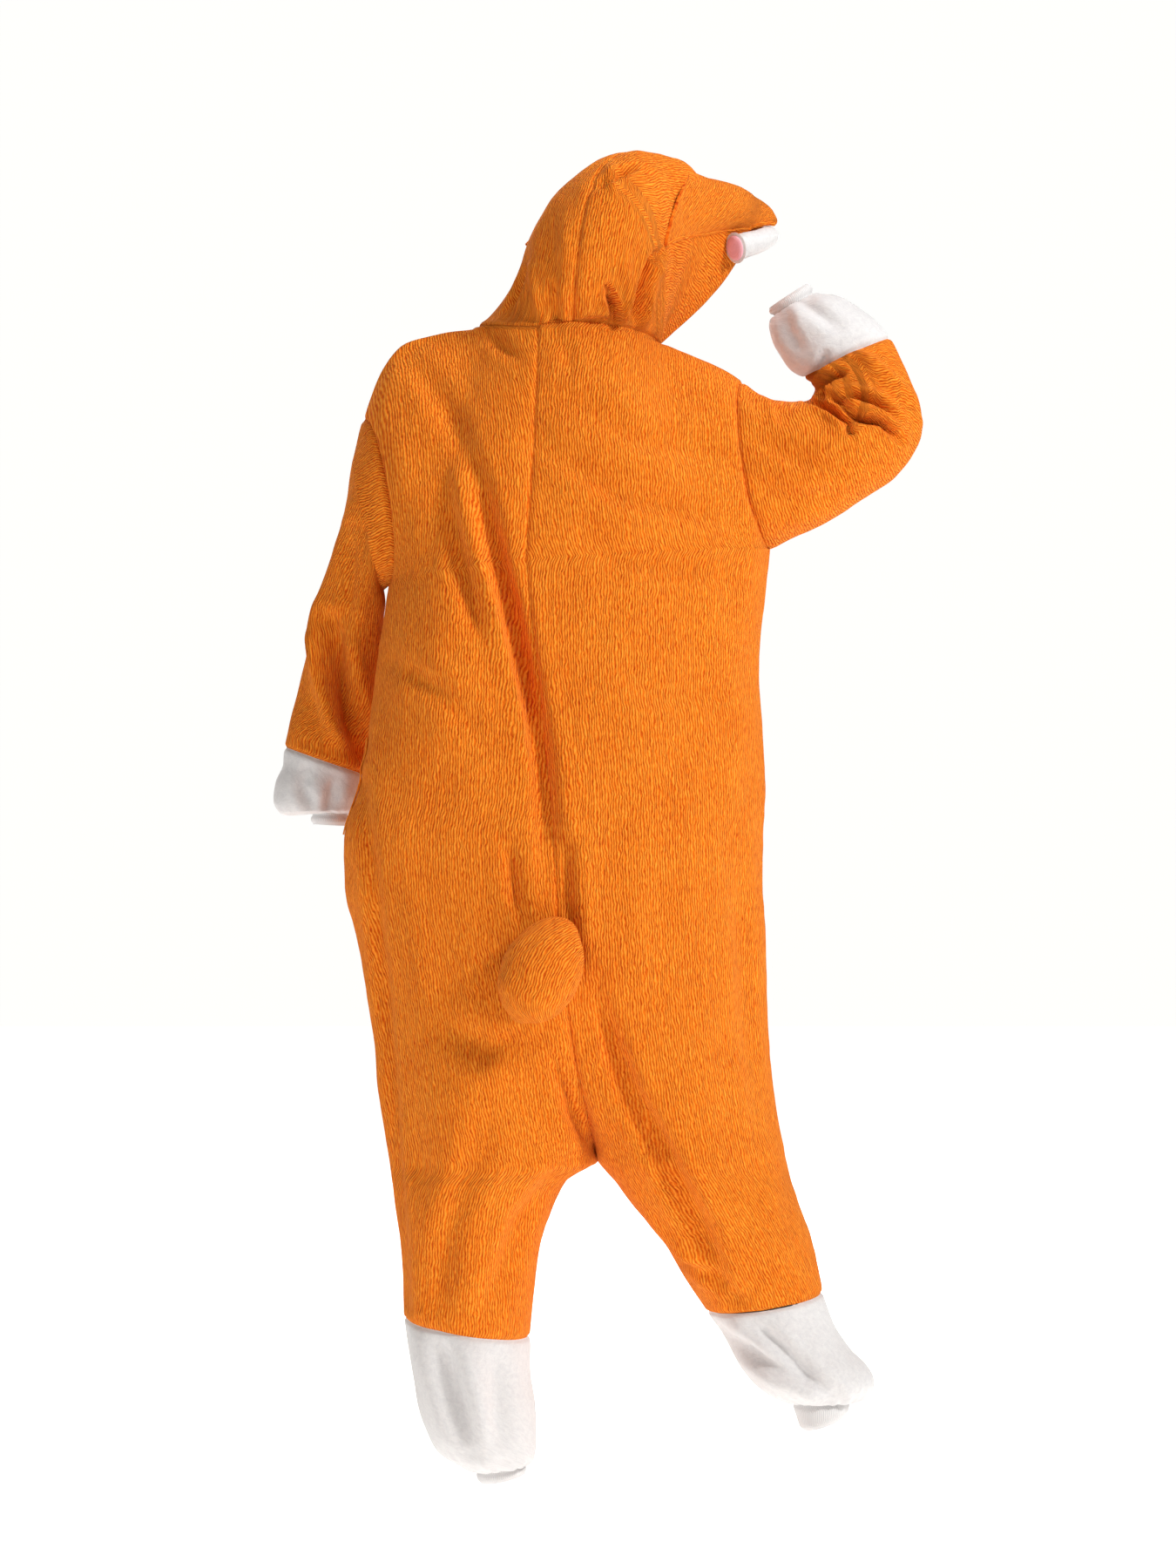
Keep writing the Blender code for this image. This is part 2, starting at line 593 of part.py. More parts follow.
def snout_grid():
    """The form under the snout: the hood's own points, then a tongue of points past its edge."""
    edge, forwards, right = snout_frame()
    ends = dict(zip(("base", "edge"), SNOUT_HALF_ANGLE))
    hood = table(HOOD)
    rows = []
    across = np.linspace(-1, 1, SNOUT_COLS + 1)
    for along in np.linspace(0, 1, SNOUT_ROWS):
        row = []
        for c in across:
            side = "right" if c > 0 else "left"
            start = SNOUT_BASE_TOP + (SNOUT_BASE_SIDE - SNOUT_BASE_TOP) * c**2
            place = start + (1 - start) * along
            reach = ends["base"] + (ends["edge"] - ends["base"]) * along**SNOUT_SIDES_EASE
            sweep = float(smooth(hood["place"], hood["end"], place))
            row.append(hood_arc(side, place, [abs(c) * reach / sweep])[0])
        rows.append(row)
    last = np.array(rows[-1])
    middle = last[SNOUT_COLS // 2]
    for along in np.linspace(0, 1, SNOUT_TIP_ROWS + 1)[1:]:
        slim = math.sqrt(1 - (SNOUT_TIP_ROUND[0] * along)**SNOUT_TIP_ROUND[1])
        spot = middle + forwards * SNOUT_REACH * along + [0, 0, SNOUT_RISE * along]
        sides = (last - middle) * np.array([slim, slim, SNOUT_TIP_FLAT * slim])
        bow = forwards * (SNOUT_REACH * SNOUT_TIP_BOW * along * (1 - across[:, None]**2))
        rows.append(spot + sides + bow)
    return np.array(rows)


def snout_loft():
    """Padding height over the form, nothing at the base seam and round at the rim."""
    across = np.linspace(-1, 1, SNOUT_COLS + 1)
    base = np.linspace(0, 1, SNOUT_ROWS)
    rise = 0.03 + 0.97 * (1 - np.cos(base * math.pi)) / 2
    tip = 1 - SNOUT_TIP_THIN * np.linspace(0, 1, SNOUT_TIP_ROWS + 1)[1:]**1.2
    along = np.concatenate([rise, tip])
    sides = SNOUT_SIDE_LOFT + (1 - SNOUT_SIDE_LOFT) * np.sqrt(1 - across**2)
    return SNOUT_LOFT * along[:, None] * sides[None, :]


def ease(grid, rounds):
    """Smooth a grid along its rows, between its first and last."""
    grid = grid.copy()
    for _ in range(rounds):
        grid[1:-1] = (grid[:-2] + 2 * grid[1:-1] + grid[2:]) / 4
    return grid


def relax(patch, rounds):
    """Spread the corner of a patch's last row over the rows before it."""
    patch = patch.copy()
    weight = np.linspace(0, 1, len(patch))[:-1, None, None]
    for _ in range(rounds):
        mean = (patch[:-1, :-2] + 2 * patch[:-1, 1:-1] + patch[:-1, 2:]) / 4
        patch[:-1, 1:-1] += weight * (mean - patch[:-1, 1:-1])
    return patch


def lip_path():
    """Centre points and radii of the lip, from the right end round the tip to the left end."""
    edge, forwards, right = snout_frame()
    rows = resample(table(LIP), LIP_ROWS // 2 + 1)
    points = edge * [1, 1, 0] + forwards * rows["forward"][:, None] + right * rows["side"][:, None]
    points[:, 2] = rows["z"]
    far = rows["side"] + LIP_FAR_EASE * rows["side"] / rows["side"][0]
    mirrored = points - right * (rows["side"] + far)[:, None]
    return np.concatenate([points, mirrored[-2::-1]]), np.concatenate([rows["radius"], rows["radius"][-2::-1]])


def lip_rings():
    points, radii = lip_path()
    heading = unit(np.gradient(points, axis=0))
    up = np.array([0, 0, 1.0])
    aside = unit(np.cross(heading, up))
    over = np.cross(aside, heading)
    turn = np.arange(LIP_SIDES) / LIP_SIDES * 2 * math.pi
    return (points[:, None] + radii[:, None, None] * (aside[:, None] * np.cos(turn)[None, :, None]
                                                      + over[:, None] * np.sin(turn)[None, :, None]))


def lip_end(rings, at_start):
    """A thin padded oval closing one end of the lip."""
    first, second = (rings[0], rings[1]) if at_start else (rings[-1], rings[-2])
    centre = first.mean(axis=0)
    outwards = unit(centre - second.mean(axis=0))
    near = first + outwards * SEAM_GAP
    far = centre + (first - centre) * 0.96 + outwards * (SEAM_GAP + 0.5 * LIP_END_THICK)
    crown = centre + (first - centre) * 0.62 + outwards * (SEAM_GAP + LIP_END_THICK)
    return np.array([near, far, crown])


def closed_tube(name, rings):
    """A capped solid through rings of like points."""
    count, around = rings.shape[:2]
    vertices = rings.reshape(-1, 3)
    faces = [(i * around + j, i * around + (j + 1) % around, (i + 1) * around + (j + 1) % around,
              (i + 1) * around + j) for i in range(count - 1) for j in range(around)]
    faces.append(tuple(range(around))[::-1])
    faces.append(tuple((count - 1) * around + j for j in range(around)))
    return solid(name, vertices, faces)


# Tail, placket, buttons and pocket

def tail_rings():
    rows = resample(table(TAIL), TAIL_ROWS)
    points = np.stack([rows["x"], rows["y"], rows["z"]], -1)
    heading = unit(np.gradient(points, axis=0))
    aside = unit(np.cross(heading, np.array([0, -1.0, 0])))
    over = np.cross(aside, heading)
    turn = np.arange(TAIL_SIDES) / TAIL_SIDES * 2 * math.pi
    return (points[:, None] + rows["width"][:, None, None] * aside[:, None] * np.cos(turn)[None, :, None]
            + rows["depth"][:, None, None] * over[:, None] * np.sin(turn)[None, :, None])


# Solids

def surface_normals(grid, closed):
    """Unit normals of a grid, pointing to the left of its rows."""
    down = np.gradient(grid, axis=0)
    if closed:
        across = (np.roll(grid, -1, 1) - np.roll(grid, 1, 1)) / 2
    else:
        across = np.gradient(grid, axis=1)
    return unit(np.cross(down, across))


def orient(grid, normals, inside):
    """Flip the normals where they point to the inside."""
    outward = np.sum((grid - inside) * normals)
    return normals if outward > 0 else -normals


def place_key(point):
    return tuple(np.floor((point + KEY_SHIFT) / KEY_STEP).astype(int))


def inward(panel):
    """Directions from each edge point of a panel into it, nothing elsewhere."""
    grid = panel["grid"]
    ways = np.zeros(grid.shape)
    ways[0] += unit(grid[1] - grid[0])
    ways[-1] += unit(grid[-2] - grid[-1])
    if not panel["closed"]:
        ways[:, 0] += unit(grid[:, 1] - grid[:, 0])
        ways[:, -1] += unit(grid[:, -2] - grid[:, -1])
    return ways


def share_normals(panels):
    """Points that several panels share get one wall direction, so that their walls meet squarely.

    Where panels fold back on each other, as in an armpit, their normals cancel, and the ways into the
    panels give the direction."""
    shared = {}
    for panel in panels:
        for point, normal, way in zip(panel["grid"].reshape(-1, 3), panel["normals"].reshape(-1, 3),
                                      inward(panel).reshape(-1, 3)):
            shared.setdefault(place_key(point), []).append((normal, way))
    walls = {}
    for key, entries in shared.items():
        normal = sum(entry[0] for entry in entries) / len(entries)
        way = sum(entry[1] for entry in entries) / len(entries)
        if len(entries) > 1:
            bend = sum(a[1] @ b[0] for a in entries for b in entries if a is not b)
            cancelled = max(FOLDED_BACK - np.linalg.norm(normal), 0)
            normal = normal + cancelled * way * (1 if bend > -0.1 else -1)
        walls[key] = normal
    for panel in panels:
        flat = panel["grid"].reshape(-1, 3)
        panel["normals"] = unit(np.array([walls[place_key(point)] for point in flat])).reshape(panel["grid"].shape)


def part_seams(panel):
    """Draw each edge of a panel back by half a seam gap."""
    grid = panel["grid"]
    moved = grid.copy()
    half = SEAM_GAP / 2
    moved[0] += unit(grid[1] - grid[0]) * half
    moved[-1] += unit(grid[-2] - grid[-1]) * half
    if not panel["closed"]:
        moved[:, 0] += unit(grid[:, 1] - grid[:, 0]) * half
        moved[:, -1] += unit(grid[:, -2] - grid[:, -1]) * half
    if np.ptp(grid[0], axis=0).max() < KEY_STEP:
        aside = unit(grid[1, 1] - grid[1, 0])
        moved[0] = grid[0, 0] + (aside + unit(grid[1, 0] - grid[0, 0])) * SEAM_GAP * 1.5
    panel["grid"] = moved


def wall_mesh(name, outer, inner, closed):
    """Vertices and faces of the wall between two like grids."""
    rows, columns = outer.shape[:2]
    vertices = np.concatenate([outer.reshape(-1, 3), inner.reshape(-1, 3)])
    below = rows * columns
    faces = []
    spans = columns if closed else columns - 1
    for i in range(rows - 1):
        for j in range(spans):
            k = (j + 1) % columns
            a, b, c, d = i * columns + j, i * columns + k, (i + 1) * columns + k, (i + 1) * columns + j
            faces.append((a, b, c, d))
            faces.append((below + d, below + c, below + b, below + a))
    rim = [(j, (j + 1) % columns) for j in range(spans)]
    rim += [((rows - 1) * columns + a, (rows - 1) * columns + b) for a, b in rim]
    if not closed:
        edge = [(i * columns, (i + 1) * columns) for i in range(rows - 1)]
        rim += edge + [(a + columns - 1, b + columns - 1) for a, b in edge]
    for a, b in rim:
        first, second = sorted((a, b), key=lambda k: tuple(vertices[k]))
        faces.append((first, second, below + first))
        faces.append((second, below + second, below + first))
    return solid(name, vertices, faces)


def solid(name, vertices, faces):
    """One object from points and faces: doubles merged, faces turned out."""
    mesh = bpy.data.meshes.new(name)
    mesh.from_pydata([tuple(v) for v in vertices], [], faces)
    work = bmesh.new()
    work.from_mesh(mesh)
    bmesh.ops.remove_doubles(work, verts=work.verts, dist=1e-6)
    bmesh.ops.recalc_face_normals(work, faces=work.faces)
    if work.calc_volume(signed=True) < 0:
        bmesh.ops.reverse_faces(work, faces=work.faces)
    work.to_mesh(mesh)
    work.free()
    mesh.shade_smooth()
    mesh.set_sharp_from_angle(angle=math.radians(50))
    thing = bpy.data.objects.new(name, mesh)
    bpy.context.scene.collection.objects.link(thing)
    return thing


def dye(thing, colour, roughness):
    """Give the piece a material of its own."""
    finish = bpy.data.materials.new(thing.name)
    finish.use_nodes = True
    shader = finish.node_tree.nodes["Principled BSDF"]
    shader.inputs["Base Color"].default_value = (*colour, 1.0)
    shader.inputs["Roughness"].default_value = roughness
    shader.inputs["Metallic"].default_value = 0.0
    thing.data.materials.append(finish)


def add_panel(panels, name, grid, inside, colour, wall=WALL, closed=False):
    normals = orient(grid, surface_normals(grid, closed), inside)
    if not normals[0].any():
        normals[0] = unit(normals[1].mean(axis=0))
    panels.append({"name": name, "grid": grid, "normals": normals, "closed": closed,
                   "colour": colour, "wall": wall})


def walk(panel, row, column_step, distance):
    """The point and normal of a panel's row at a distance from its first (+1) or last (-1) column."""
    points = panel["grid"][row][::column_step]
    normals = panel["normals"][row][::column_step]
    run = np.concatenate([[0], np.cumsum(np.linalg.norm(np.diff(points, axis=0), axis=1))])
    return point_along(run, points, distance), unit(point_along(run, normals, distance))


def lay_on(name, spots, normals, lift, thick):
    """A strip lying on panels: their own points, moved out."""
    return wall_mesh(name, spots + normals * (lift + thick), spots + normals * lift, False)


def placket_base(surfaces):
    """Points across the centre front, from the left panel over the seam to the right one."""
    left, right = surfaces["front_left"], surfaces["front_right"]
    spots, normals = [], []
    for row in range(*PLACKET_ROWS):
        near = [walk(left, row, -1, PLACKET_HALF), walk(left, row, -1, PLACKET_HALF / 2)]
        far = [walk(right, row, -1, PLACKET_HALF / 2), walk(right, row, -1, PLACKET_HALF)]
        centre = (left["grid"][row, -1] + right["grid"][row, -1]) / 2
        line = near + [(centre, left["normals"][row, -1])] + far
        spots.append([point for point, _ in line])
        normals.append([normal for _, normal in line])
    return np.array(spots), np.array(normals)


def welt_base(surfaces):
    """Points of the pocket's welt on the left back panel, beside the side seam."""
    panel = surfaces["back_left"]
    spots, normals = [], []
    for row in range(*WELT_ROWS):
        line = [walk(panel, row, 1, WELT_OFFSET + side * WELT_HALF) for side in (-1, 1)]
        spots.append([point for point, _ in line])
        normals.append([normal for _, normal in line])
    return np.array(spots), np.array(normals)


def point_along(run, points, at):
    """The point at a distance along a line of points."""
    return np.array([np.interp(at, run, points[:, i]) for i in range(3)])


def button(name, centre, normal, across):
    """A turned disc with a rounded edge, its back just off the placket."""
    down = np.cross(normal, across)
    turn = np.arange(BUTTON_SIDES) / BUTTON_SIDES * 2 * math.pi
    circle = across * np.cos(turn)[:, None] + down * np.sin(turn)[:, None]
    rings = [centre + circle * BUTTON_RADIUS * size + normal * BUTTON_THICK * height
             for size, height in BUTTON_PROFILE]
    return closed_tube(name, np.array(rings))


def sew_on(surfaces):
    """Pieces that lie on the panels, and the padded ones."""
    lower = snout_grid()
    normals = orient(lower, surface_normals(lower, False), lower.mean(axis=(0, 1)) - np.array([0.02, 0.02, 0.1]))
    gaps = np.interp(np.linspace(-1, 1, SNOUT_COLS + 1), (-1, 0, 1), SNOUT_GAPS)[None, :]
    normals = unit(ease(normals, SNOUT_EASE))
    upper = lower + normals * (gaps + snout_loft())[..., None]
    dye(wall_mesh("snout", upper, lower + normals * gaps[..., None], False), ORANGE, 0.9)
    rings = lip_rings()
    dye(closed_tube("snout_lip", rings), WHITE, 0.9)
    for name, at_start in (("lip_end_right", True), ("lip_end_left", False)):
        dye(closed_tube(name, lip_end(rings, at_start)), PINK, 0.85)
    dye(closed_tube("tail", tail_rings()), ORANGE, 0.9)
    spots, ways = placket_base(surfaces)
    dye(lay_on("placket", spots, ways, PLACKET_LIFT, PLACKET_WALL), ORANGE, 0.9)
    cover = spots + ways * (PLACKET_LIFT + PLACKET_WALL)
    middle = PLACKET_MIDDLE
    run = np.concatenate([[0], np.cumsum(np.linalg.norm(np.diff(cover[:, middle], axis=0), axis=1))])
    for k in range(BUTTON_COUNT):
        at = run[-1] * (k + BUTTON_FIRST) / BUTTON_COUNT
        spot = point_along(run, cover[:, middle], at)
        normal = unit(point_along(run, ways[:, middle], at))
        across = np.array([1.0, 0, 0])
        across = unit(across - normal * (across @ normal))
        under = [point_along(run, cover[:, column], at + shift) for column in (middle - 1, middle, middle + 1)
                 for shift in np.linspace(-BUTTON_RADIUS, BUTTON_RADIUS, 5)]
        lift = max((point - spot) @ normal for point in under) + BUTTON_LIFT
        dye(button("button_%d" % (k + 1), spot + normal * lift, normal, across), WHITE, 0.35)
    spots, ways = welt_base(surfaces)
    dye(lay_on("pocket_welt", spots, ways, LAY_GAP, WELT_WALL), ORANGE, 0.9)


def build():
    for thing in list(bpy.data.objects):
        bpy.data.objects.remove(thing)
    panels = []
    axis_of = {"left": np.array([-0.10, 0.0, 0.0]), "right": np.array([0.12, 0.0, 0.0])}
    for panel in ("back_left", "back_right", "front_left", "front_right"):
        grid = body_panel(panel)
        inside = np.broadcast_to(axis_of[panel.split("_")[1]], grid.shape).copy()
        inside[..., 2] = grid[..., 2]
        add_panel(panels, panel, grid, inside, ORANGE)
    for side in ("left", "right"):
        grid = sleeve(side)
        add_panel(panels, "sleeve_" + side, grid, grid.mean(axis=1, keepdims=True), ORANGE, closed=True)
    for name, text, count, first, wall in TUBES:
        side = name.split("_")[-1]
        turns = leg_turns(side) if name.startswith(("leg", "ankle")) else sleeve_turns()
        grid = tube(text, count, turns, first)
        add_panel(panels, name, grid, grid.mean(axis=1, keepdims=True), WHITE, wall, closed=True)
    for side in ("left", "right"):
        grid = hood_panel(side)
        add_panel(panels, "hood_" + side, grid, np.array([0.07, 0.01, 0.09]), ORANGE)
    share_normals(panels)
    for panel in panels:
        part_seams(panel)
        inner = panel["grid"] - panel["normals"] * panel["wall"]
        thing = wall_mesh(panel["name"], panel["grid"], inner, panel["closed"])
        dye(thing, panel["colour"], 0.9)
    surfaces = {panel["name"]: panel for panel in panels}
    sew_on(surfaces)


build()
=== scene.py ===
"""The animal onesie dressed: fine cloth shells on the solids' forms, with folds, seams and materials."""
import math

import bmesh
import bpy
import numpy as np
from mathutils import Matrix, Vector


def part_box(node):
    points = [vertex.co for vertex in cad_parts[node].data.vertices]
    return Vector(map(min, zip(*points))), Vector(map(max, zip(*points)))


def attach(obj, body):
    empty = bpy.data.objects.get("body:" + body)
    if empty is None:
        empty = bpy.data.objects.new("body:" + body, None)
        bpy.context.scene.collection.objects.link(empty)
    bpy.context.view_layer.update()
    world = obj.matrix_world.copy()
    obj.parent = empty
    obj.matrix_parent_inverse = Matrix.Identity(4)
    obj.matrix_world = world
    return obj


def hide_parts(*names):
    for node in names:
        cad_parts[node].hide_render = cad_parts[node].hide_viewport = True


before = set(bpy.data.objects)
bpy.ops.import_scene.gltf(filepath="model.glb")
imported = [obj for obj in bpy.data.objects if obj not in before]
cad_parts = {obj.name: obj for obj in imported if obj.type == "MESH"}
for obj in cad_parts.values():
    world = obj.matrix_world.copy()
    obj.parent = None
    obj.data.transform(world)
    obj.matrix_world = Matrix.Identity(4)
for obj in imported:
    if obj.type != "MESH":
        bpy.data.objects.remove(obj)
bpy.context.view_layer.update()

WALL = 0.0025  # crinkled fleece
RIB_WALL = 0.0030  # doubled rib band

UPPER_ROWS = 40  # armpit to shoulder, and half of an armhole
SHOULDER_COLS = 24
TRUNK_ROWS = 170
LEG_ROWS = 42
SLEEVE_ROWS = 130
END_ROWS = 44
BAND_ROWS = 8
HOOD_COLS = 110
YOKE_EASE = 60  # rounds of smoothing across the yoke
KINK_ROWS = 9  # rows beside the crotch's that are smoothed
KINK_EASE = 30  # and how often
GRAIN_EASE = 12  # rounds of smoothing of the grain's middle line
KEY_STEP = 1e-5  # points closer than this are one point
KEY_SHIFT = 3.7e-6
UP = np.array([0, 0, 1.0])
FOLDED_BACK = 0.80  # mean of unit normals below which two panels count as folded back

# Trunk sections from the armpits to the crotch. z is the centre seam's height. The seams run at back_x and
# front_x, depth is how far the cloth stands from the side seams, turn is the angle that each quarter sweeps.
TRUNK = """
left_x  left_y  left_z  right_x right_y right_z z       back_x  front_x back_depth front_depth turn
-0.213  -0.015  -0.285  0.246   0.000   -0.243  -0.262  -0.047  0.055   0.135      0.120       90
-0.220  -0.028  -0.335  0.239   0.000   -0.310  -0.320  -0.041  0.052   0.138      0.122       90
-0.229  -0.032  -0.400  0.233   0.000   -0.390  -0.395  -0.033  0.048   0.140      0.125       90
-0.236  -0.032  -0.465  0.237   0.000   -0.460  -0.462  -0.028  0.044   0.142      0.128       90
-0.248  -0.030  -0.530  0.239   0.000   -0.530  -0.530  -0.020  0.040   0.145      0.130       90
-0.267  -0.025  -0.590  0.236   0.000   -0.590  -0.590  -0.015  0.036   0.148      0.132       90
-0.266  -0.020  -0.645  0.235   0.000   -0.645  -0.645  -0.011  0.032   0.150      0.132       90
-0.252  -0.015  -0.705  0.238   0.000   -0.705  -0.705  -0.009  0.030   0.150      0.130       92
-0.240  -0.010  -0.765  0.239   0.000   -0.765  -0.765  -0.002  0.030   0.146      0.128       98
-0.231  -0.006  -0.825  0.242   0.000   -0.825  -0.825  0.008   0.032   0.140      0.124       108
-0.224  -0.003  -0.880  0.248   0.000   -0.880  -0.880  0.018   0.034   0.133      0.120       124
-0.217  -0.001  -0.930  0.256   0.000   -0.930  -0.930  0.028   0.036   0.126      0.116       145
-0.213  0.000   -0.960  0.262   0.000   -0.960  -0.960  0.034   0.038   0.121      0.113       163
-0.210  0.000   -0.981  0.266   0.000   -0.981  -0.981  0.039   0.039   0.117      0.111       180
"""

# Trouser legs below the crotch: side seam, inseam, the section's middle and half depth.
LEFT_LEG = """
side_x  side_z  in_x    in_z    y       depth
-0.209  -0.993  0.011   -0.990  0.000   0.113
-0.207  -1.010  -0.004  -1.010  0.000   0.110
-0.204  -1.040  -0.019  -1.040  0.000   0.105
-0.200  -1.076  -0.031  -1.075  0.000   0.098
-0.197  -1.118  -0.038  -1.124  0.000   0.090
-0.196  -1.167  -0.044  -1.190  0.000   0.080
"""
RIGHT_LEG = """
side_x  side_z  in_x    in_z    y       depth
0.269   -0.995  0.053   -0.991  0.003   0.110
0.275   -1.012  0.067   -1.009  0.006   0.107
0.285   -1.040  0.089   -1.039  0.012   0.101
0.296   -1.071  0.114   -1.074  0.018   0.095
0.304   -1.105  0.142   -1.121  0.024   0.086
0.311   -1.141  0.170   -1.165  0.030   0.076
"""

# Tubes: each row is a ring through an outer and an inner point, with its middle and half depth in y.
LEFT_SLEEVE = """
out_x   out_z   in_x    in_z    y       depth
-0.260  -0.137  -0.222  -0.290  0.004   0.060
-0.270  -0.192  -0.2210 -0.308  0.015   0.058
-0.284  -0.252  -0.2225 -0.330  0.028   0.056
-0.301  -0.304  -0.2215 -0.357  0.039   0.054
-0.316  -0.357  -0.2250 -0.392  0.048   0.052
-0.329  -0.410  -0.231  -0.432  0.054   0.050
-0.339  -0.452  -0.240  -0.475  0.058   0.048
-0.345  -0.480  -0.247  -0.513  0.060   0.046
"""
LEFT_SLEEVE_END = """
out_x   out_z   in_x    in_z    y       depth
-0.345  -0.480  -0.247  -0.513  0.060   0.046
-0.346  -0.500  -0.250  -0.526  0.062   0.048
-0.355  -0.524  -0.252  -0.540  0.063   0.049
-0.357  -0.546  -0.255  -0.550  0.064   0.047
-0.346  -0.561  -0.258  -0.557  0.064   0.043
-0.322  -0.560  -0.263  -0.561  0.064   0.034
-0.313  -0.562  -0.265  -0.563  0.064   0.029
"""
LEFT_CUFF = """
out_x   out_z   in_x    in_z    y       depth
-0.313  -0.562  -0.265  -0.563  0.064   0.029
-0.313  -0.574  -0.265  -0.576  0.064   0.029
"""
RIGHT_SLEEVE = """
out_x   out_z   in_x    in_z    y       depth
0.270   -0.230  0.232   -0.055  0.000   0.078
0.300   -0.217  0.252   -0.065  -0.004  0.074
0.345   -0.193  0.272   -0.068  -0.008  0.070
0.386   -0.164  0.288   -0.067  -0.012  0.066
0.414   -0.134  0.297   -0.063  -0.014  0.062
0.427   -0.104  0.301   -0.056  -0.012  0.059
0.425   -0.070  0.303   -0.048  -0.006  0.057
0.413   -0.029  0.300   -0.040  0.004   0.054
0.392   0.015   0.288   -0.033  0.020   0.050
"""
RIGHT_SLEEVE_END = """
out_x   out_z   in_x    in_z    y       depth
0.392   0.015   0.288   -0.033  0.020   0.050
0.376   0.036   0.267   -0.014  0.028   0.052
0.346   0.056   0.251   0.010   0.036   0.050
0.323   0.069   0.246   0.030   0.042   0.042
0.309   0.072   0.248   0.041   0.046   0.034
0.302   0.074   0.251   0.045   0.048   0.030
"""
RIGHT_CUFF = """
out_x   out_z   in_x    in_z    y       depth
0.302   0.074   0.251   0.045   0.048   0.030
0.296   0.087   0.245   0.054   0.052   0.029
"""
LEFT_LEG_END = """
out_x   out_z   in_x    in_z    y       depth
-0.196  -1.167  -0.044  -1.190  0.000   0.080
-0.190  -1.212  -0.044  -1.232  0.001   0.080
-0.184  -1.260  -0.038  -1.272  0.003   0.079
-0.174  -1.302  -0.035  -1.312  0.006   0.076
-0.158  -1.334  -0.036  -1.334  0.010   0.066
-0.126  -1.352  -0.042  -1.344  0.014   0.046
-0.110  -1.356  -0.049  -1.347  0.016   0.036
"""
LEFT_ANKLE = """
out_x   out_z   in_x    in_z    y       depth
-0.110  -1.356  -0.049  -1.347  0.016   0.036
-0.107  -1.370  -0.047  -1.358  0.017   0.036
"""
RIGHT_LEG_END = """
out_x   out_z   in_x    in_z    y       depth
0.311   -1.141  0.170   -1.165  0.030   0.076
0.323   -1.178  0.195   -1.202  0.026   0.077
0.341   -1.208  0.211   -1.234  0.020   0.076
0.360   -1.229  0.227   -1.254  0.012   0.070
0.368   -1.246  0.247   -1.266  0.006   0.058
0.356   -1.263  0.266   -1.271  0.002   0.042
0.343   -1.266  0.272   -1.271  0.000   0.036
"""
RIGHT_ANKLE = """
out_x   out_z   in_x    in_z    y       depth
0.343   -1.266  0.272   -1.271  0.000   0.036
0.339   -1.283  0.282   -1.302  -0.006  0.035
"""

# The white tubes: table, rows, the point that each ring starts from, wall.
TUBES = [
    ("sleeve_end_left", LEFT_SLEEVE_END, END_ROWS, "in", WALL),
    ("cuff_left", LEFT_CUFF, BAND_ROWS, "in", RIB_WALL),
    ("sleeve_end_right", RIGHT_SLEEVE_END, END_ROWS, "out", WALL),
    ("cuff_right", RIGHT_CUFF, BAND_ROWS, "out", RIB_WALL),
    ("leg_end_left", LEFT_LEG_END, END_ROWS + 1, "out", WALL),
    ("ankle_left", LEFT_ANKLE, BAND_ROWS, "out", RIB_WALL),
    ("leg_end_right", RIGHT_LEG_END, END_ROWS + 1, "out", WALL),
    ("ankle_right", RIGHT_ANKLE, BAND_ROWS, "out", RIB_WALL),
]

# Yoke: shoulder seams from armhole to neck, and the armholes.
LEFT_SHOULDER = """
x       y       z
-0.245  0.000   -0.085
-0.235  0.000   -0.050
-0.221  0.000   -0.020
-0.198  0.000   0.006
-0.160  0.000   0.019
-0.108  0.003   0.026
"""
RIGHT_SHOULDER = """
x       y       z
0.215   0.000   -0.040
0.200   0.000   -0.028
0.180   0.000   -0.018
0.158   0.000   -0.010
0.136   0.001   -0.003
0.112   0.003   0.003
"""
ARMHOLE = {"left": (0.062, 0.018), "right": (0.078, -0.022)}  # half depth, dish towards the body

# Neck opening: an oval, its height by the angle from the back towards the wearer's right.
NECK_MIDDLE = (0.002, 0.003)
NECK_HALF = (0.110, 0.088)
NECK_HEIGHT = """
angle   z
-195    -0.045
-140    -0.012
-90     0.026
-19     0.019
4       0.022
50      0.014
90      0.003
130     -0.018
165     -0.045
"""
BACK_ANGLE = -19  # where the centre back seam meets the neck
NAPE_ANGLE = 4  # where the hood's centre seam meets it
FRONT_ANGLE = 165
NECK_STEPS = {"back_left": 25, "nape": 5, "back_right": 30, "front_right": 30, "front_left": 30}

# Hood: sections from the nape over the crown to the forehead, by place, 0 to 1. seam_ is the centre seam,
# width_ how far the cloth stands from it on each side, yaw the section's turn to the wearer's right, end the
# angle that its arc sweeps (both in degrees), cheek how far the arc bulges forwards.
HOOD = """
place   seam_x  seam_y  seam_z  width_right width_left  yaw end cheek
0.00    0.009   -0.085  0.022   0.000       0.000       15  90  0.000
0.12    0.011   -0.106  0.060   0.050       0.048       18  95  0.000
0.24    0.016   -0.120  0.112   0.085       0.080       22  103 0.000
0.36    0.026   -0.113  0.163   0.103       0.098       28  110 0.000
0.48    0.045   -0.082  0.207   0.112       0.105       34  112 0.000
0.60    0.080   -0.035  0.231   0.112       0.106       40  112 0.004
0.70    0.117   0.010   0.228   0.108       0.104       46  112 0.006
0.80    0.148   0.050   0.211   0.105       0.102       50  114 0.010
0.90    0.181   0.088   0.190   0.102       0.099       52  119 0.014
1.00    0.208   0.122   0.168   0.098       0.095       52  126 0.016
"""
HOOD_AXIS = np.array([0.060, 0.010])  # about which the neck flares
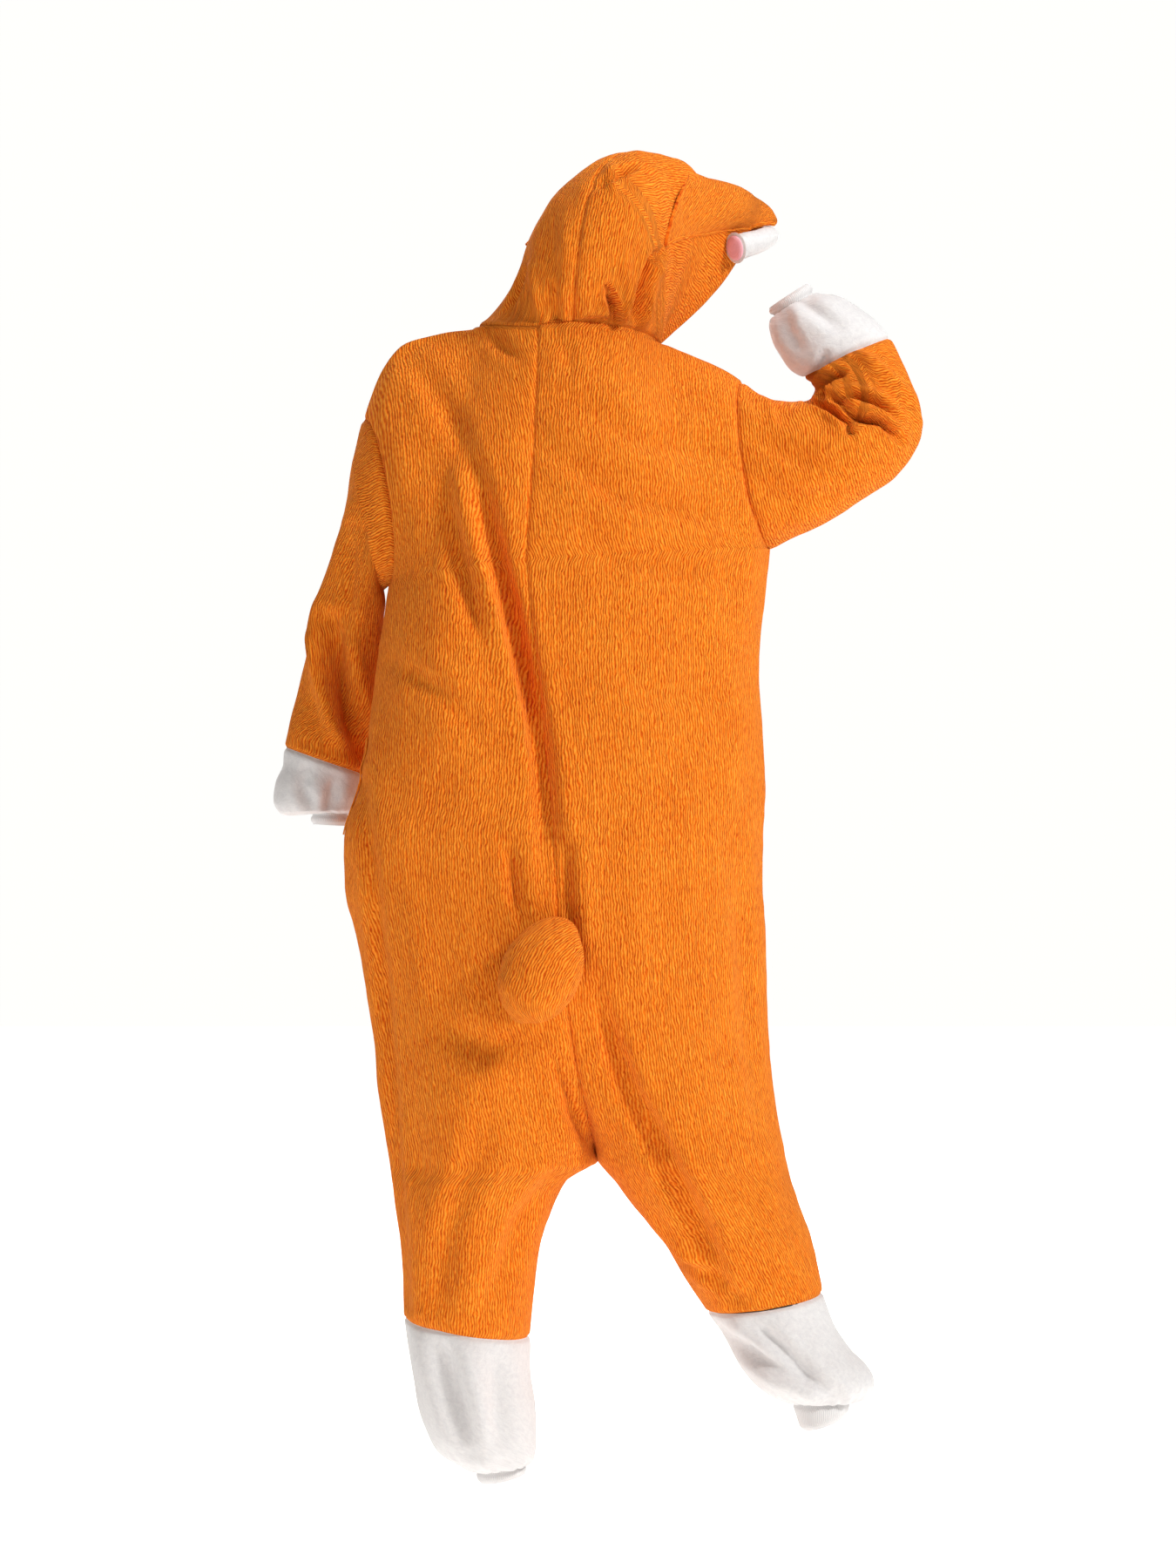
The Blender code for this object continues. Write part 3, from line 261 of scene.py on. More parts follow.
HOOD_NARROW = 0.64  # hood's foot before the flare, as a share of the neck's size

# Snout: a padded visor sewn over the hood's front. Its base seam lies at these places of the hood.
SNOUT_BASE_TOP = 0.745
SNOUT_BASE_SIDE = 0.475
SNOUT_HALF_ANGLE = (69.0, 28.0)  # how far round the hood it reaches, at its base and its front edge
SNOUT_YAW = 52.0
SNOUT_REACH = 0.055  # past the hood's edge
SNOUT_LOFT = 0.040  # padding over the hood
SNOUT_RISE = 0.012  # of its tip
SNOUT_EASE = 60  # rounds of smoothing of its padding's direction
SNOUT_TIP_THIN = 0.72  # how much the padding thins to its tip
SNOUT_SIDE_LOFT = 0.14  # padding at its side edges, as a share of the middle's
SNOUT_SIDES_EASE = 2.2  # how late its sides draw in over the hood
SNOUT_TIP_ROUND = (0.93, 2.6)  # how far and how sharply the tongue's sides draw in
SNOUT_TIP_FLAT = 0.6  # and how fast the tongue flattens
SNOUT_TIP_BOW = 0.10  # share of the reach that its middle runs ahead by
SNOUT_GAPS = (0.0030, 0.0016, 0.0014)  # over the hood: far edge, middle, near edge
SNOUT_ROWS = 46
SNOUT_TIP_ROWS = 24
SNOUT_COLS = 72
SNOUT_EDGE_RADIUS = 0.0030
SNOUT_EDGE_LOFT = 0.0035  # padding at its very edge
SNOUT_EDGE_ROUND = 0.010  # and how far in it reaches its fullness

# White lip round the snout's rim, from the near end to the tip: place in the snout's own frame, radius.
LIP = """
forward side    z       radius
-0.054  0.068   0.127   0.0155
-0.034  0.064   0.133   0.0150
-0.010  0.056   0.140   0.0142
0.010   0.045   0.147   0.0134
0.028   0.031   0.153   0.0126
0.040   0.015   0.157   0.0120
0.044   0.000   0.158   0.0118
"""
LIP_SIDES = 32
LIP_ROWS = 121
LIP_SOFT = (0.0007, 0.012, 0.006)  # height and size of the uneven skin, length of the rounded ends
RIM_SIZE = (1.24, 0.4)  # round the end's oval, in its width and height
LIP_FAR_EASE = 0.024  # the hood is fuller on its far side

FOLD_END = 0.06  # share of a fold's length kept at each end
FOLD_FADE = 0.6  # how fast it fades towards them
FOLD_REACH = 0.06  # from the panel's edge to a fold's full depth
# Largest folds, in millimetres: trough or ridge, the face they lie on, depth, half width and a path in x
# and z, which may go on in an indented line.
FOLDS = """
fold             kind   face  deep half path
beside_back_seam trough back  16   26   -108,-150 -87,-240 -66,-330 -34,-470 -20,-660
left_back_drag   trough back  8    26   -140,-180 -118,-290 -105,-360
right_back_drag  trough back  6    30   -20,-120 70,-180 190,-210
right_of_tail    trough back  12   26   22,-720 34,-780 56,-850 100,-940 150,-1020 215,-1120
left_of_tail     trough back  10   28   -90,-820 -40,-880 10,-930
left_side_crease trough back  8    22   -225,-600 -205,-850 -180,-1080
right_flank      trough back  6    26   190,-700 195,-900 235,-1080
front_drag_left  trough front 10   30   -120,-250 -70,-450 -20,-660
front_drag_right trough front 9    28   150,-300 120,-500 60,-750
front_lap        trough front 9    30   -130,-800 20,-900 160,-820
"""

# Tail: rings from its root on the centre seam to its tip.
TAIL = """
x       y       z       width   depth
-0.010  -0.1514 -0.694  0.010   0.009
-0.009  -0.1634 -0.697  0.025   0.020
-0.016  -0.1774 -0.714  0.040   0.031
-0.026  -0.1854 -0.738  0.047   0.036
-0.038  -0.1874 -0.763  0.044   0.034
-0.049  -0.1834 -0.785  0.029   0.023
-0.055  -0.1804 -0.797  0.008   0.008
"""
TAIL_ROWS = 60
TAIL_SIDES = 64
TAIL_SOFT = (0.0012, 0.014, 0.002)  # height and size of the uneven skin, length of the rounded ends
TAIL_SEAM_DIP = 0.0014
TAIL_SEAM_TURN = 0.09  # a seam groove's half width, as an angle round the tail

PLACKET_HALF = 0.019
PLACKET_WALL = 0.002
PLACKET_LIFT = 0.0008
PLACKET_Z = (-0.044, -0.636)  # height of its ends
PLACKET_TOWARDS = np.array([0.0, 0.2, 0.0])
STITCH_SIZE = (0.0028, 0.0011, 0.0009)  # length, gap and thickness
BUTTON_COUNT = 6
BUTTON_RADIUS = 0.009
BUTTON_THICK = 0.0035
BUTTON_LIFT = 0.0006
BUTTON_SIDES = 40
# Rings from the back over the rim into the dish, as shares of radius and thickness.
BUTTON_PROFILE = [(0.30, 0.0), (0.86, 0.0), (0.96, 0.12), (1.0, 0.35), (1.0, 0.62), (0.95, 0.90), (0.87, 1.0),
                  (0.79, 0.95), (0.73, 0.76), (0.66, 0.68), (0.30, 0.66)]
BUTTON_DISH = 0.66
HOLE_PLACE = 0.20  # share of the radius, across and down
HOLE_RADIUS = 0.0009
HOLE_SIDES = 10
HOLE_HEIGHTS = (-0.00035, 0.00005)
THREAD_REACH = 0.24
THREAD_RADIUS = 0.0005
THREAD_RISE = (-0.0001, 0.0007, -0.0001)
WELT_Z = (-0.470, -0.590)  # height of the pocket slit's ends
WELT_HALF = 0.006
WELT_OFFSET = 0.014  # from the side seam
WELT_WALL = 0.002
WELT_LIFT = 0.0006
WELT_TOWARDS = np.array([-0.1, -0.2, 0.0])

# Smaller creases, in the same columns as the largest folds.
CREASES = """
crease              kind   face  deep half path
beside_seam         trough back  8.5  11   -104,-156 -84,-247 -63,-330 -46,-399 -32,-467 -25,-522
    -20,-586 -17,-677
beside_seam_ridge   ridge  back  5.5  12   -125,-161 -104,-250 -85,-334 -66,-403 -52,-469 -43,-525
left_back_long      trough back  4    11   -137,-190 -114,-295 -101,-347
shoulder_drag_1     trough back  3.5  12   -41,-121 64,-185 199,-213
shoulder_drag_2     trough back  3    14   -9,-71 93,-122 207,-139
shoulder_drag_3     trough back  2.8  15   -25,-195 62,-260 220,-284
left_shoulder_drag  trough back  3    12   -188,-14 -155,-59 -112,-136
above_tail_1        trough back  4    8    0,-586 -3,-631 -5,-676
above_tail_2        trough back  5    8.5  -66,-590 -60,-640 -52,-690
beside_tail         trough back  6    10   4,-600 3,-650 5,-706 10,-760 24,-823
right_of_tail       trough back  6.5  11   21,-721 33,-768 55,-832 75,-885 97,-926 117,-965 155,-1041
    185,-1120 211,-1150
below_tail          trough back  6    10   -13,-846 13,-914 31,-953
left_of_tail        trough back  4    16   -132,-815 -91,-835 -45,-825
left_side           trough back  4.5  8    -239,-525 -227,-628 -212,-836 -200,-997 -188,-1148
right_leg_ridge     ridge  back  4    12   66,-992 115,-1056 187,-1127
right_leg_trough    trough back  4    7    127,-1093 156,-1102 185,-1120
left_leg_1          trough back  4    12   0,-973 -51,-1040 -92,-1143
left_leg_2          trough back  3.5  14   -91,-922 -133,-1037 -154,-1144
right_flank_fine    trough back  3    12   207,-628 216,-784 232,-938
waist_right         trough back  2.2  15   52,-383 113,-423 207,-411
waist_left          trough back  3    13   -205,-381 -152,-413 -90,-474
sleeve_left_edge    ridge  back  5    9    -262,-191 -284,-262 -300,-323 -302,-351 -295,-409 -287,-447
    -266,-472
sleeve_left_hollow  trough back  11   11   -283,-330 -272,-400 -250,-483
sleeve_left_fine    trough back  4    8    -259,-220 -261,-307 -266,-345
sleeve_left_upper   trough back  2.5  8    -238,-173 -243,-235 -249,-300
shoulder_pleat      trough back  4.5  6    223,-60 230,-82 236,-103
elbow_1             trough back  8.5  4.5  290,-68 314,-79 334,-96 336,-109
elbow_2             trough back  8    4.8  309,-66 323,-71 344,-92 374,-96 395,-115
elbow_3             trough back  8    4.2  303,-68 308,-50 318,-40 330,-36
elbow_4             trough back  5.5  4.5  318,-66 345,-64 370,-72 392,-90
elbow_5             trough back  5    4    296,-34 306,-20 312,-8
elbow_ridge         ridge  back  5.5  8    303,-56 316,-30 343,-10 376,-37 410,-65 422,-92
under_arm           trough back  3    12   227,-174 269,-189 332,-178
upper_arm           trough back  3.5  11   219,-112 258,-133 320,-154
crown_1             trough back  4.5  4.2  55,186 66,194 80,200
crown_2             trough back  4.8  4.5  55,186 42,180 26,172
crown_3             ridge  back  3    5    55,186 50,206
crown_4             ridge  back  3    6    50,182 62,164
hood_fold_1         trough back  8.5  4.2  49,59 55,40 59,22 57,14
hood_fold_2         trough back  9.5  4.5  109,102 98,87 86,59 78,32 73,16
hood_fold_3         trough back  4.5  3.5  23,21 40,24 55,24
hood_fold_4         trough back  4    4    -49,86 -60,62 -75,32
hood_fold_5         trough back  3    10   -22,148 -17,100 -10,63
hood_fold_6         trough back  6    4    103,78 92,52 84,26 82,16
hood_fold_7         ridge  back  3.5  6    -40,85 -33,50 -26,6
hood_fold_8         trough back  3    5    -14,60 -10,35 -12,8
hood_ridge          ridge  back  4    6    118,100 98,67 88,8
hood_ridge_2        ridge  back  4.5  7    70,86 73,50 68,10
neck_left           trough back  2.5  7    -93,10 -77,-6 -51,-24
neck_right          trough back  2.5  7    -10,0 1,-14 6,-45
leg_end_left_1      trough back  7    13   -152,-1179 -134,-1247 -111,-1320
leg_end_left_2      trough back  3.5  12   -82,-1200 -80,-1259 -77,-1330
leg_end_right_1     trough back  6    10   224,-1171 262,-1203 317,-1252
leg_end_right_2     trough back  5.5  9    188,-1190 228,-1210 282,-1237
sleeve_end_left_1   trough back  3    7    -316,-509 -320,-530 -311,-552
sleeve_end_left_2   trough back  3    7    -280,-520 -283,-541 -288,-556
sleeve_end_right_1  trough back  3.5  7    283,-1 268,21 264,40
sleeve_end_right_2  trough back  3.5  8    324,24 304,41 282,60
front_chest_1       trough front 4    14   -150,-120 -80,-180 -30,-280
front_chest_2       trough front 4.5  13   190,-130 120,-190 85,-300
front_waist_1       trough front 5    15   -180,-420 -110,-500 -30,-560
front_waist_2       trough front 4.5  14   200,-420 140,-480 60,-610
front_hip_1         ridge  front 5    15   -190,-640 -110,-720 -20,-790
front_hip_2         ridge  front 5    14   190,-660 120,-760 60,-850
front_seat_1        trough front 6    12   -150,-860 -60,-930 20,-965
front_seat_2        trough front 5.5  12   200,-880 130,-950 60,-970
front_leg_left      trough front 5    12   -20,-1000 -70,-1070 -120,-1160
front_leg_right     trough front 5    12   90,-1010 160,-1070 230,-1150
front_sleeve_left   trough front 6    10   -262,-230 -275,-330 -262,-440
front_elbow_1       trough front 6.5  7    300,-70 340,-85 390,-110
front_elbow_2       trough front 5.5  7    306,-60 330,-30 370,-20
front_leg_end_left  trough front 6    12   -90,-1190 -100,-1260 -85,-1330
front_leg_end_right trough front 5.5  10   220,-1180 270,-1220 310,-1255
front_neck_left     trough front 3.5  9    -60,-50 -80,-100 -85,-150
front_neck_right    trough front 3.5  9    90,-60 110,-110 120,-170
"""
CREASE_DEPTH = 2.2  # on all of them
LIP_OF_TROUGH = 0.35  # height of the cloth beside a trough, as a share of its depth

# What is irregular all over: size along x, y, z in metres, and height.
WAVES = [
    (0.070, 0.070, 0.190, 0.0045),
    (0.028, 0.028, 0.075, 0.0021),
    (0.013, 0.013, 0.026, 0.0005),
]
SEAM_DIP = 0.0030  # at a sewn edge
SEAM_REACH = 0.0028
EDGE_SHARES = (0.13, 0.30, 0.60)  # extra rows beside a sewn edge, as shares of the first row's width
PUCKER = 0.0011  # along a sewn edge
PUCKER_REACH = 0.016
PUCKER_SIZE = 0.012
NOISE_SIDE = 48  # cells of the repeating noise
NOISE_SEED = 11

# Gathers where a tube is drawn into its rib band: piece, how many, depth.
GATHERS = {
    "sleeve_end_left": (17, 0.0022), "sleeve_end_right": (19, 0.0022),
    "leg_end_left": (21, 0.0026), "leg_end_right": (21, 0.0026),
}
GATHER_REACH = 0.30  # of the tube's length

# The cut of each cloth piece, all round on a tube, in metres, and the piece that it is sewn to.
CUTS = """
piece            width  length  area    hangs_from
back_left        0.380  1.310   0.340   front_left
back_right       0.360  1.300   0.375   front_right
front_left       0.400  1.260   0.385   back_left
front_right      0.355  1.230   0.303   back_right
sleeve_left      0.525  0.415   0.110   back_left
sleeve_right     0.575  0.370   0.114   back_right
hood_left        0.330  0.490   0.100   back_left
hood_right       0.340  0.490   0.070   back_right
sleeve_end_left  0.320  0.120   0.025   sleeve_left
sleeve_end_right 0.350  0.115   0.032   sleeve_right
leg_end_left     0.495  0.230   0.087   back_left
leg_end_right    0.465  0.170   0.064   back_right
cuff_left        0.166  0.013   0.0021  sleeve_end_left
cuff_right       0.185  0.015   0.0025  sleeve_end_right
ankle_left       0.210  0.014   0.0028  leg_end_left
ankle_right      0.225  0.033   0.0055  leg_end_right
placket          0.040  0.600   0.023   front_left
pocket_welt      0.013  0.125   0.0016  back_left
"""

FLOOR_Z = -1.444
BACKDROP_RADIUS = 14.0
PAD_HEIGHT = 1.25  # the ovals at the lip's ends, height to width
CAMERA_AT = (0.02625, -4.2, -0.525)
CAMERA_LENS = 80.0
# Place, size, power and colour.
LAMPS = [
    ("key", (3.1, -2.4, 1.9), 0.9, 146.0, (1.0, 1.0, 0.98)),
    ("fill", (-2.8, -3.0, 0.9), 3.0, 8.0, (1.0, 0.78, 0.64)),
    ("top", (0.4, -0.4, 3.0), 2.0, 56.0, (1.0, 1.0, 1.0)),
    ("front", (-0.8, 3.2, 1.2), 2.0, 70.0, (1.0, 0.97, 0.94)),
]
WORLD_COLOUR = (1.0, 0.90, 0.84, 1.0)
WORLD_STRENGTH = 0.19
FLOOR_HALF = 9.0
FLOOR_THICK = 0.01
FLOOR_GLOW = 0.86
PALE = (1.0, 1.0, 0.975, 1)


def table(text):
    """Read a table of named columns into a dictionary of arrays."""
    lines = [line.split() for line in text.strip().splitlines()]
    return {name: np.array([float(row[i]) for row in lines[1:]]) for i, name in enumerate(lines[0])}


def presses(text):
    """Read a table of folds: face (-1 back, +1 front), whether a ridge, depth, half width and path."""
    rows = []
    for line in text.strip().splitlines()[1:]:
        words = line.split()
        if not line.startswith(" "):
            face = -1 if words[2] == "back" else 1
            rows.append((face, words[1] == "ridge", float(words[3]) / 1000, float(words[4]) / 1000, []))
            words = words[5:]
        rows[-1][-1].extend([float(value) / 1000 for value in word.split(",")] for word in words)
    return rows


def smooth(knots, values, at):
    """Values on a smooth monotone-tangent curve through the knots."""
    knots = np.asarray(knots, float)
    values = np.asarray(values, float)
    at = np.asarray(at, float)
    steps = np.diff(knots)
    slopes = np.diff(values) / steps
    tangents = np.zeros(len(knots))
    tangents[0] = slopes[0]
    tangents[-1] = slopes[-1]
    for i in range(1, len(knots) - 1):
        if slopes[i - 1] * slopes[i] > 0:
            tangents[i] = 2 * slopes[i - 1] * slopes[i] / (slopes[i - 1] + slopes[i])
        else:
            tangents[i] = (slopes[i - 1] + slopes[i]) / 4
    spot = np.clip(np.searchsorted(knots, at, side="right") - 1, 0, len(steps) - 1)
    h = steps[spot]
    s = (at - knots[spot]) / h
    return ((2 * s**3 - 3 * s**2 + 1) * values[spot] + (s**3 - 2 * s**2 + s) * h * tangents[spot]
            + (3 * s**2 - 2 * s**3) * values[spot + 1] + (s**3 - s**2) * h * tangents[spot + 1])


def resample(columns, count):
    """The table's rows, read smoothly at count even steps."""
    rows = len(next(iter(columns.values())))
    knots = np.arange(rows)
    at = np.linspace(0, rows - 1, count)
    return {name: smooth(knots, values, at) for name, values in columns.items()}


def sections(text, count):
    """A table read smoothly at count even steps, as one dictionary for each."""
    columns = resample(table(text), count)
    return [{name: values[i] for name, values in columns.items()} for i in range(count)]


def unit(vectors):
    length = np.linalg.norm(vectors, axis=-1, keepdims=True)
    return vectors / np.maximum(length, 1e-12)


# Body

def neck_point(angle):
    heights = table(NECK_HEIGHT)
    z = smooth(heights["angle"], heights["z"], angle)
    turn = np.radians(angle)
    return np.stack([NECK_MIDDLE[0] + NECK_HALF[0] * np.sin(turn),
                     NECK_MIDDLE[1] - NECK_HALF[1] * np.cos(turn), z], -1)


def panel_columns(panel):
    return SHOULDER_COLS + len(neck_angles(panel)) - 1


def neck_angles(panel):
    """The angles at which a body panel's top edge and the hood share points, from shoulder to centre."""
    steps = NECK_STEPS
    if panel == "back_left":
        return np.linspace(-90, BACK_ANGLE, steps["back_left"] + 1)
    if panel == "front_left":
        return np.linspace(-90, FRONT_ANGLE - 360, steps["front_left"] + 1)
    if panel == "front_right":
        return np.linspace(90, FRONT_ANGLE, steps["front_right"] + 1)
    first = np.linspace(90, NAPE_ANGLE, steps["back_right"] + 1)
    last = np.linspace(NAPE_ANGLE, BACK_ANGLE, steps["nape"] + 1)
    return np.concatenate([first, last[1:]])


def shoulder_edge(side):
    rows = table(LEFT_SHOULDER if side == "left" else RIGHT_SHOULDER)
    return np.stack([resample(rows, SHOULDER_COLS + 1)[name] for name in "xyz"], -1)


def armhole_edge(side, face):
    """From the armpit up to the shoulder point, round the back (-1) or the front (+1)."""
    trunk = table(TRUNK)
    bottom = np.array([trunk[side + "_x"][0], trunk[side + "_y"][0], trunk[side + "_z"][0]])
    top = shoulder_edge(side)[0]
    depth, dish = ARMHOLE[side]
    turn = np.linspace(0, math.pi, UPPER_ROWS + 1)[:, None]
    middle = (bottom + top) / 2
    loop = middle + (bottom - middle) * np.cos(turn)
    loop = loop + np.array([dish, face * depth, 0]) * np.sin(turn)
    return loop


def trunk_arc(side, face, row, fractions):
    """A quarter section from the side seam to the centre seam."""
    end = math.radians(row["turn"])
    start = np.array([row[side + "_x"], row[side + "_y"], row[side + "_z"]])
    seam_x = row["back_x"] if face < 0 else row["front_x"]
    depth = row["back_depth"] if face < 0 else row["front_depth"]
    seam_y = face * depth * math.sin(end)
    turn = end * fractions
    share = (1 - np.cos(turn)) / (1 - math.cos(end))
    x = start[0] + (seam_x - start[0]) * share
    z = start[2] + (row["z"] - start[2]) * share
    if math.sin(end) > 0.02:
        y = start[1] * (1 - share) + seam_y * np.sin(turn) / math.sin(end)
    else:
        y = start[1] * (1 - share) + face * depth * np.sin(turn)
    return np.stack([x, y, z], -1)


def leg_arc(row, face, fractions):
    turn = math.pi * fractions
    share = (1 - np.cos(turn)) / 2
    x = row["side_x"] + (row["in_x"] - row["side_x"]) * share
    z = row["side_z"] + (row["in_z"] - row["side_z"]) * share
    return np.stack([x, row["y"] + face * row["depth"] * np.sin(turn), z], -1)


def body_panel(panel):
    """Grid of a body panel, rows from the shoulder to the leg hem, columns from side to centre."""
    face = -1 if panel.startswith("back") else 1
    side = panel.split("_")[1]
    necks = neck_angles(panel)
    top = np.concatenate([shoulder_edge(side), neck_point(necks)[1:]])
    columns = len(top) - 1
    fractions = np.linspace(0, 1, columns + 1)
    rows = sections(TRUNK, TRUNK_ROWS)
    bottom = trunk_arc(side, face, rows[0], fractions)
    side_edge = armhole_edge(side, face)
    rise = np.linspace(0, 1, UPPER_ROWS + 1)
    centre_edge = centre_seam(bottom[-1], top[-1], rise)
    upper = relax(coons(bottom, top, side_edge, centre_edge), YOKE_EASE)
    lower = [trunk_arc(side, face, row, fractions) for row in rows[1:]]
    legs = [leg_arc(row, face, fractions)
            for row in sections(LEFT_LEG if side == "left" else RIGHT_LEG, LEG_ROWS)]
    grid = np.concatenate([upper[::-1], np.array(lower), np.array(legs)])
    grid = ease_kink(grid, len(upper) + len(lower))
    return fold(grid, face)


def ease_kink(grid, row):
    """Smooth the rows about one row, all but the centre seam."""
    near = np.exp(-((np.arange(len(grid)) - row) / KINK_ROWS)**2)[1:-1, None, None]
    free = (1 - np.linspace(0, 1, grid.shape[1])**8)[None, :, None]
    grid = grid.copy()
    for _ in range(KINK_EASE):
        grid[1:-1] += near * free * ((grid[:-2] + grid[2:]) / 2 - grid[1:-1]) / 2
    return grid


def centre_seam(bottom, top, rise):
    """The centre seam above the armpits: near upright, then over towards the neck."""
    z = bottom[2] + (top[2] - bottom[2]) * rise
    y = bottom[1] + (top[1] - bottom[1]) * rise**2.2
    x = bottom[0] + (top[0] - bottom[0]) * np.sin(rise * math.pi / 2)
    return np.stack([x, y, z], -1)


def coons(bottom, top, left, right):
    """A patch over four edges: rows from bottom to top, columns from left to right."""
    v = np.linspace(0, 1, len(left))[:, None, None]
    u = np.linspace(0, 1, len(bottom))[None, :, None]
    across = (1 - v) * bottom[None] + v * top[None]
    along = (1 - u) * left[:, None] + u * right[:, None]
    corners = ((1 - u) * (1 - v) * bottom[0] + u * (1 - v) * bottom[-1]
               + (1 - u) * v * top[0] + u * v * top[-1])
    return across + along - corners


def distance_to_path(x, z, path):
    """Distance to a polyline and how far along it, 0 to 1."""
    path = np.array(path)
    pieces = np.diff(path, axis=0)
    lengths = np.linalg.norm(pieces, axis=1)
    run = np.concatenate([[0], np.cumsum(lengths)])
    best = np.full(x.shape, np.inf)
    share = np.zeros(x.shape)
    for start, piece, length, before in zip(path[:-1], pieces, lengths, run):
        t = np.clip(((x - start[0]) * piece[0] + (z - start[1]) * piece[1]) / length**2, 0, 1)
        gap = np.hypot(x - start[0] - t * piece[0], z - start[1] - t * piece[1])
        closer = gap < best
        best = np.where(closer, gap, best)
        share = np.where(closer, (before + t * length) / run[-1], share)
    return best, share


def fold(grid, face):
    """Press the folds into the cloth, towards the inside."""
    push = np.zeros(grid.shape[:2])
    for where, _, depth, half, path in presses(FOLDS):
        if where != face:
            continue
        gap, along = distance_to_path(grid[..., 0], grid[..., 2], path)
        fade = np.sin(math.pi * np.clip(along, FOLD_END, 1 - FOLD_END))**FOLD_FADE
        push = push + depth * np.exp(-(gap / half)**2) * fade
    near = np.linspace(1, 0, grid.shape[1])[None, :]
    away = np.clip(np.abs(grid[..., 1] - grid[:, :1, 1] * near) / FOLD_REACH, 0, 1)
    away *= np.clip(np.arange(len(grid)) / (2.5 * UPPER_ROWS / 8), 0, 1)[:, None]
    grid = grid.copy()
    grid[..., 1] -= face * push * away
    return grid


# Tubes

def ring(row, turns, first):
    """A ring through the row's inner and outer points, from the first of them over the back."""
    ends = {"in": np.array([row["in_x"], row["y"], row["in_z"]]),
            "out": np.array([row["out_x"], row["y"], row["out_z"]])}
    middle = (ends["in"] + ends["out"]) / 2
    return (middle + (ends[first] - middle) * np.cos(turns)[:, None]
            + np.array([0, -row["depth"], 0]) * np.sin(turns)[:, None])


def tube(text, count, turns, first):
    return np.array([ring(row, turns, first) for row in sections(text, count)])


def sleeve_turns():
    return np.arange(2 * UPPER_ROWS) / UPPER_ROWS * math.pi


def leg_turns(side):
    """The angles of a leg's columns, so that hem and leg end share their points."""
    back = np.linspace(0, math.pi, panel_columns("back_" + side) + 1)
    front = np.linspace(math.pi, 2 * math.pi, panel_columns("front_" + side) + 1)
    return np.concatenate([back[:-1], front[:-1]])


def armhole_ring(side):
    """The armhole as a ring: from the armpit up the back to the shoulder point and down the front."""
    back = armhole_edge(side, -1)
    front = armhole_edge(side, 1)
    return np.concatenate([back[:-1], front[:0:-1]])


def sleeve(side):
    text, first = (LEFT_SLEEVE, "in") if side == "left" else (RIGHT_SLEEVE, "out")
    return np.concatenate([armhole_ring(side)[None], tube(text, SLEEVE_ROWS, sleeve_turns(), first)])


# Hood

def hood_angles(side):
    """Neck angles of the hood's rows, shared with the body's neck points."""
    if side == "left":
        return np.concatenate([[NAPE_ANGLE], neck_angles("back_left")[::-1], neck_angles("front_left")[1:]])
    return np.concatenate([neck_angles("back_right")[:-NECK_STEPS["nape"]][::-1],
                           neck_angles("front_right")[1:]])


def hood_arc(side, place, degrees):
    """Points of one hood section at the given angles from the centre seam; the last may be its end."""
    hood = table(HOOD)
    row = {name: float(smooth(hood["place"], values, place)) for name, values in hood.items()}
    angles = hood_angles(side)
    foot = neck_point(np.interp(place, np.linspace(0, 1, len(angles)), angles)[None])[0]
    slim = foot.copy()
    slim[:2] = HOOD_AXIS + (foot[:2] - HOOD_AXIS) * (1 + (HOOD_NARROW - 1) * min(1, place / 0.3))
    seam = np.array([row["seam_x"], row["seam_y"], row["seam_z"]])
    yaw = math.radians(row["yaw"])
    sign = 1 if side == "right" else -1
    sideways = sign * np.array([math.cos(yaw), -math.sin(yaw), 0]) * row["width_" + side]
    forwards = np.array([math.sin(yaw), math.cos(yaw), 0]) * row["cheek"]
    end = math.radians(row["end"])
    turn = end * np.asarray(degrees, float)[:, None]
    share = (1 - np.cos(turn)) / (1 - math.cos(end))
    rest = slim - seam - sideways * math.sin(end)
    return (seam + rest * share + sideways * np.sin(turn) + (foot - slim) * share**4
            + forwards * np.sin(math.pi * share))


def hood_panel(side):
    """Rows from the nape to the face edge, columns from the centre seam to the neck seam."""
    places = np.linspace(0, 1, len(hood_angles(side)))
    grid = np.array([hood_arc(side, place, np.linspace(0, 1, HOOD_COLS + 1)) for place in places])
    grid[0] = grid[0, 0]
    return grid


# Snout

def snout_frame():
    """The hood's front edge at the centre seam, and the directions forwards and to the wearer's right."""
    yaw = math.radians(SNOUT_YAW)
    edge = hood_arc("right", 1.0, [0.0])[0]
    return edge, np.array([math.sin(yaw), math.cos(yaw), 0]), np.array([math.cos(yaw), -math.sin(yaw), 0])


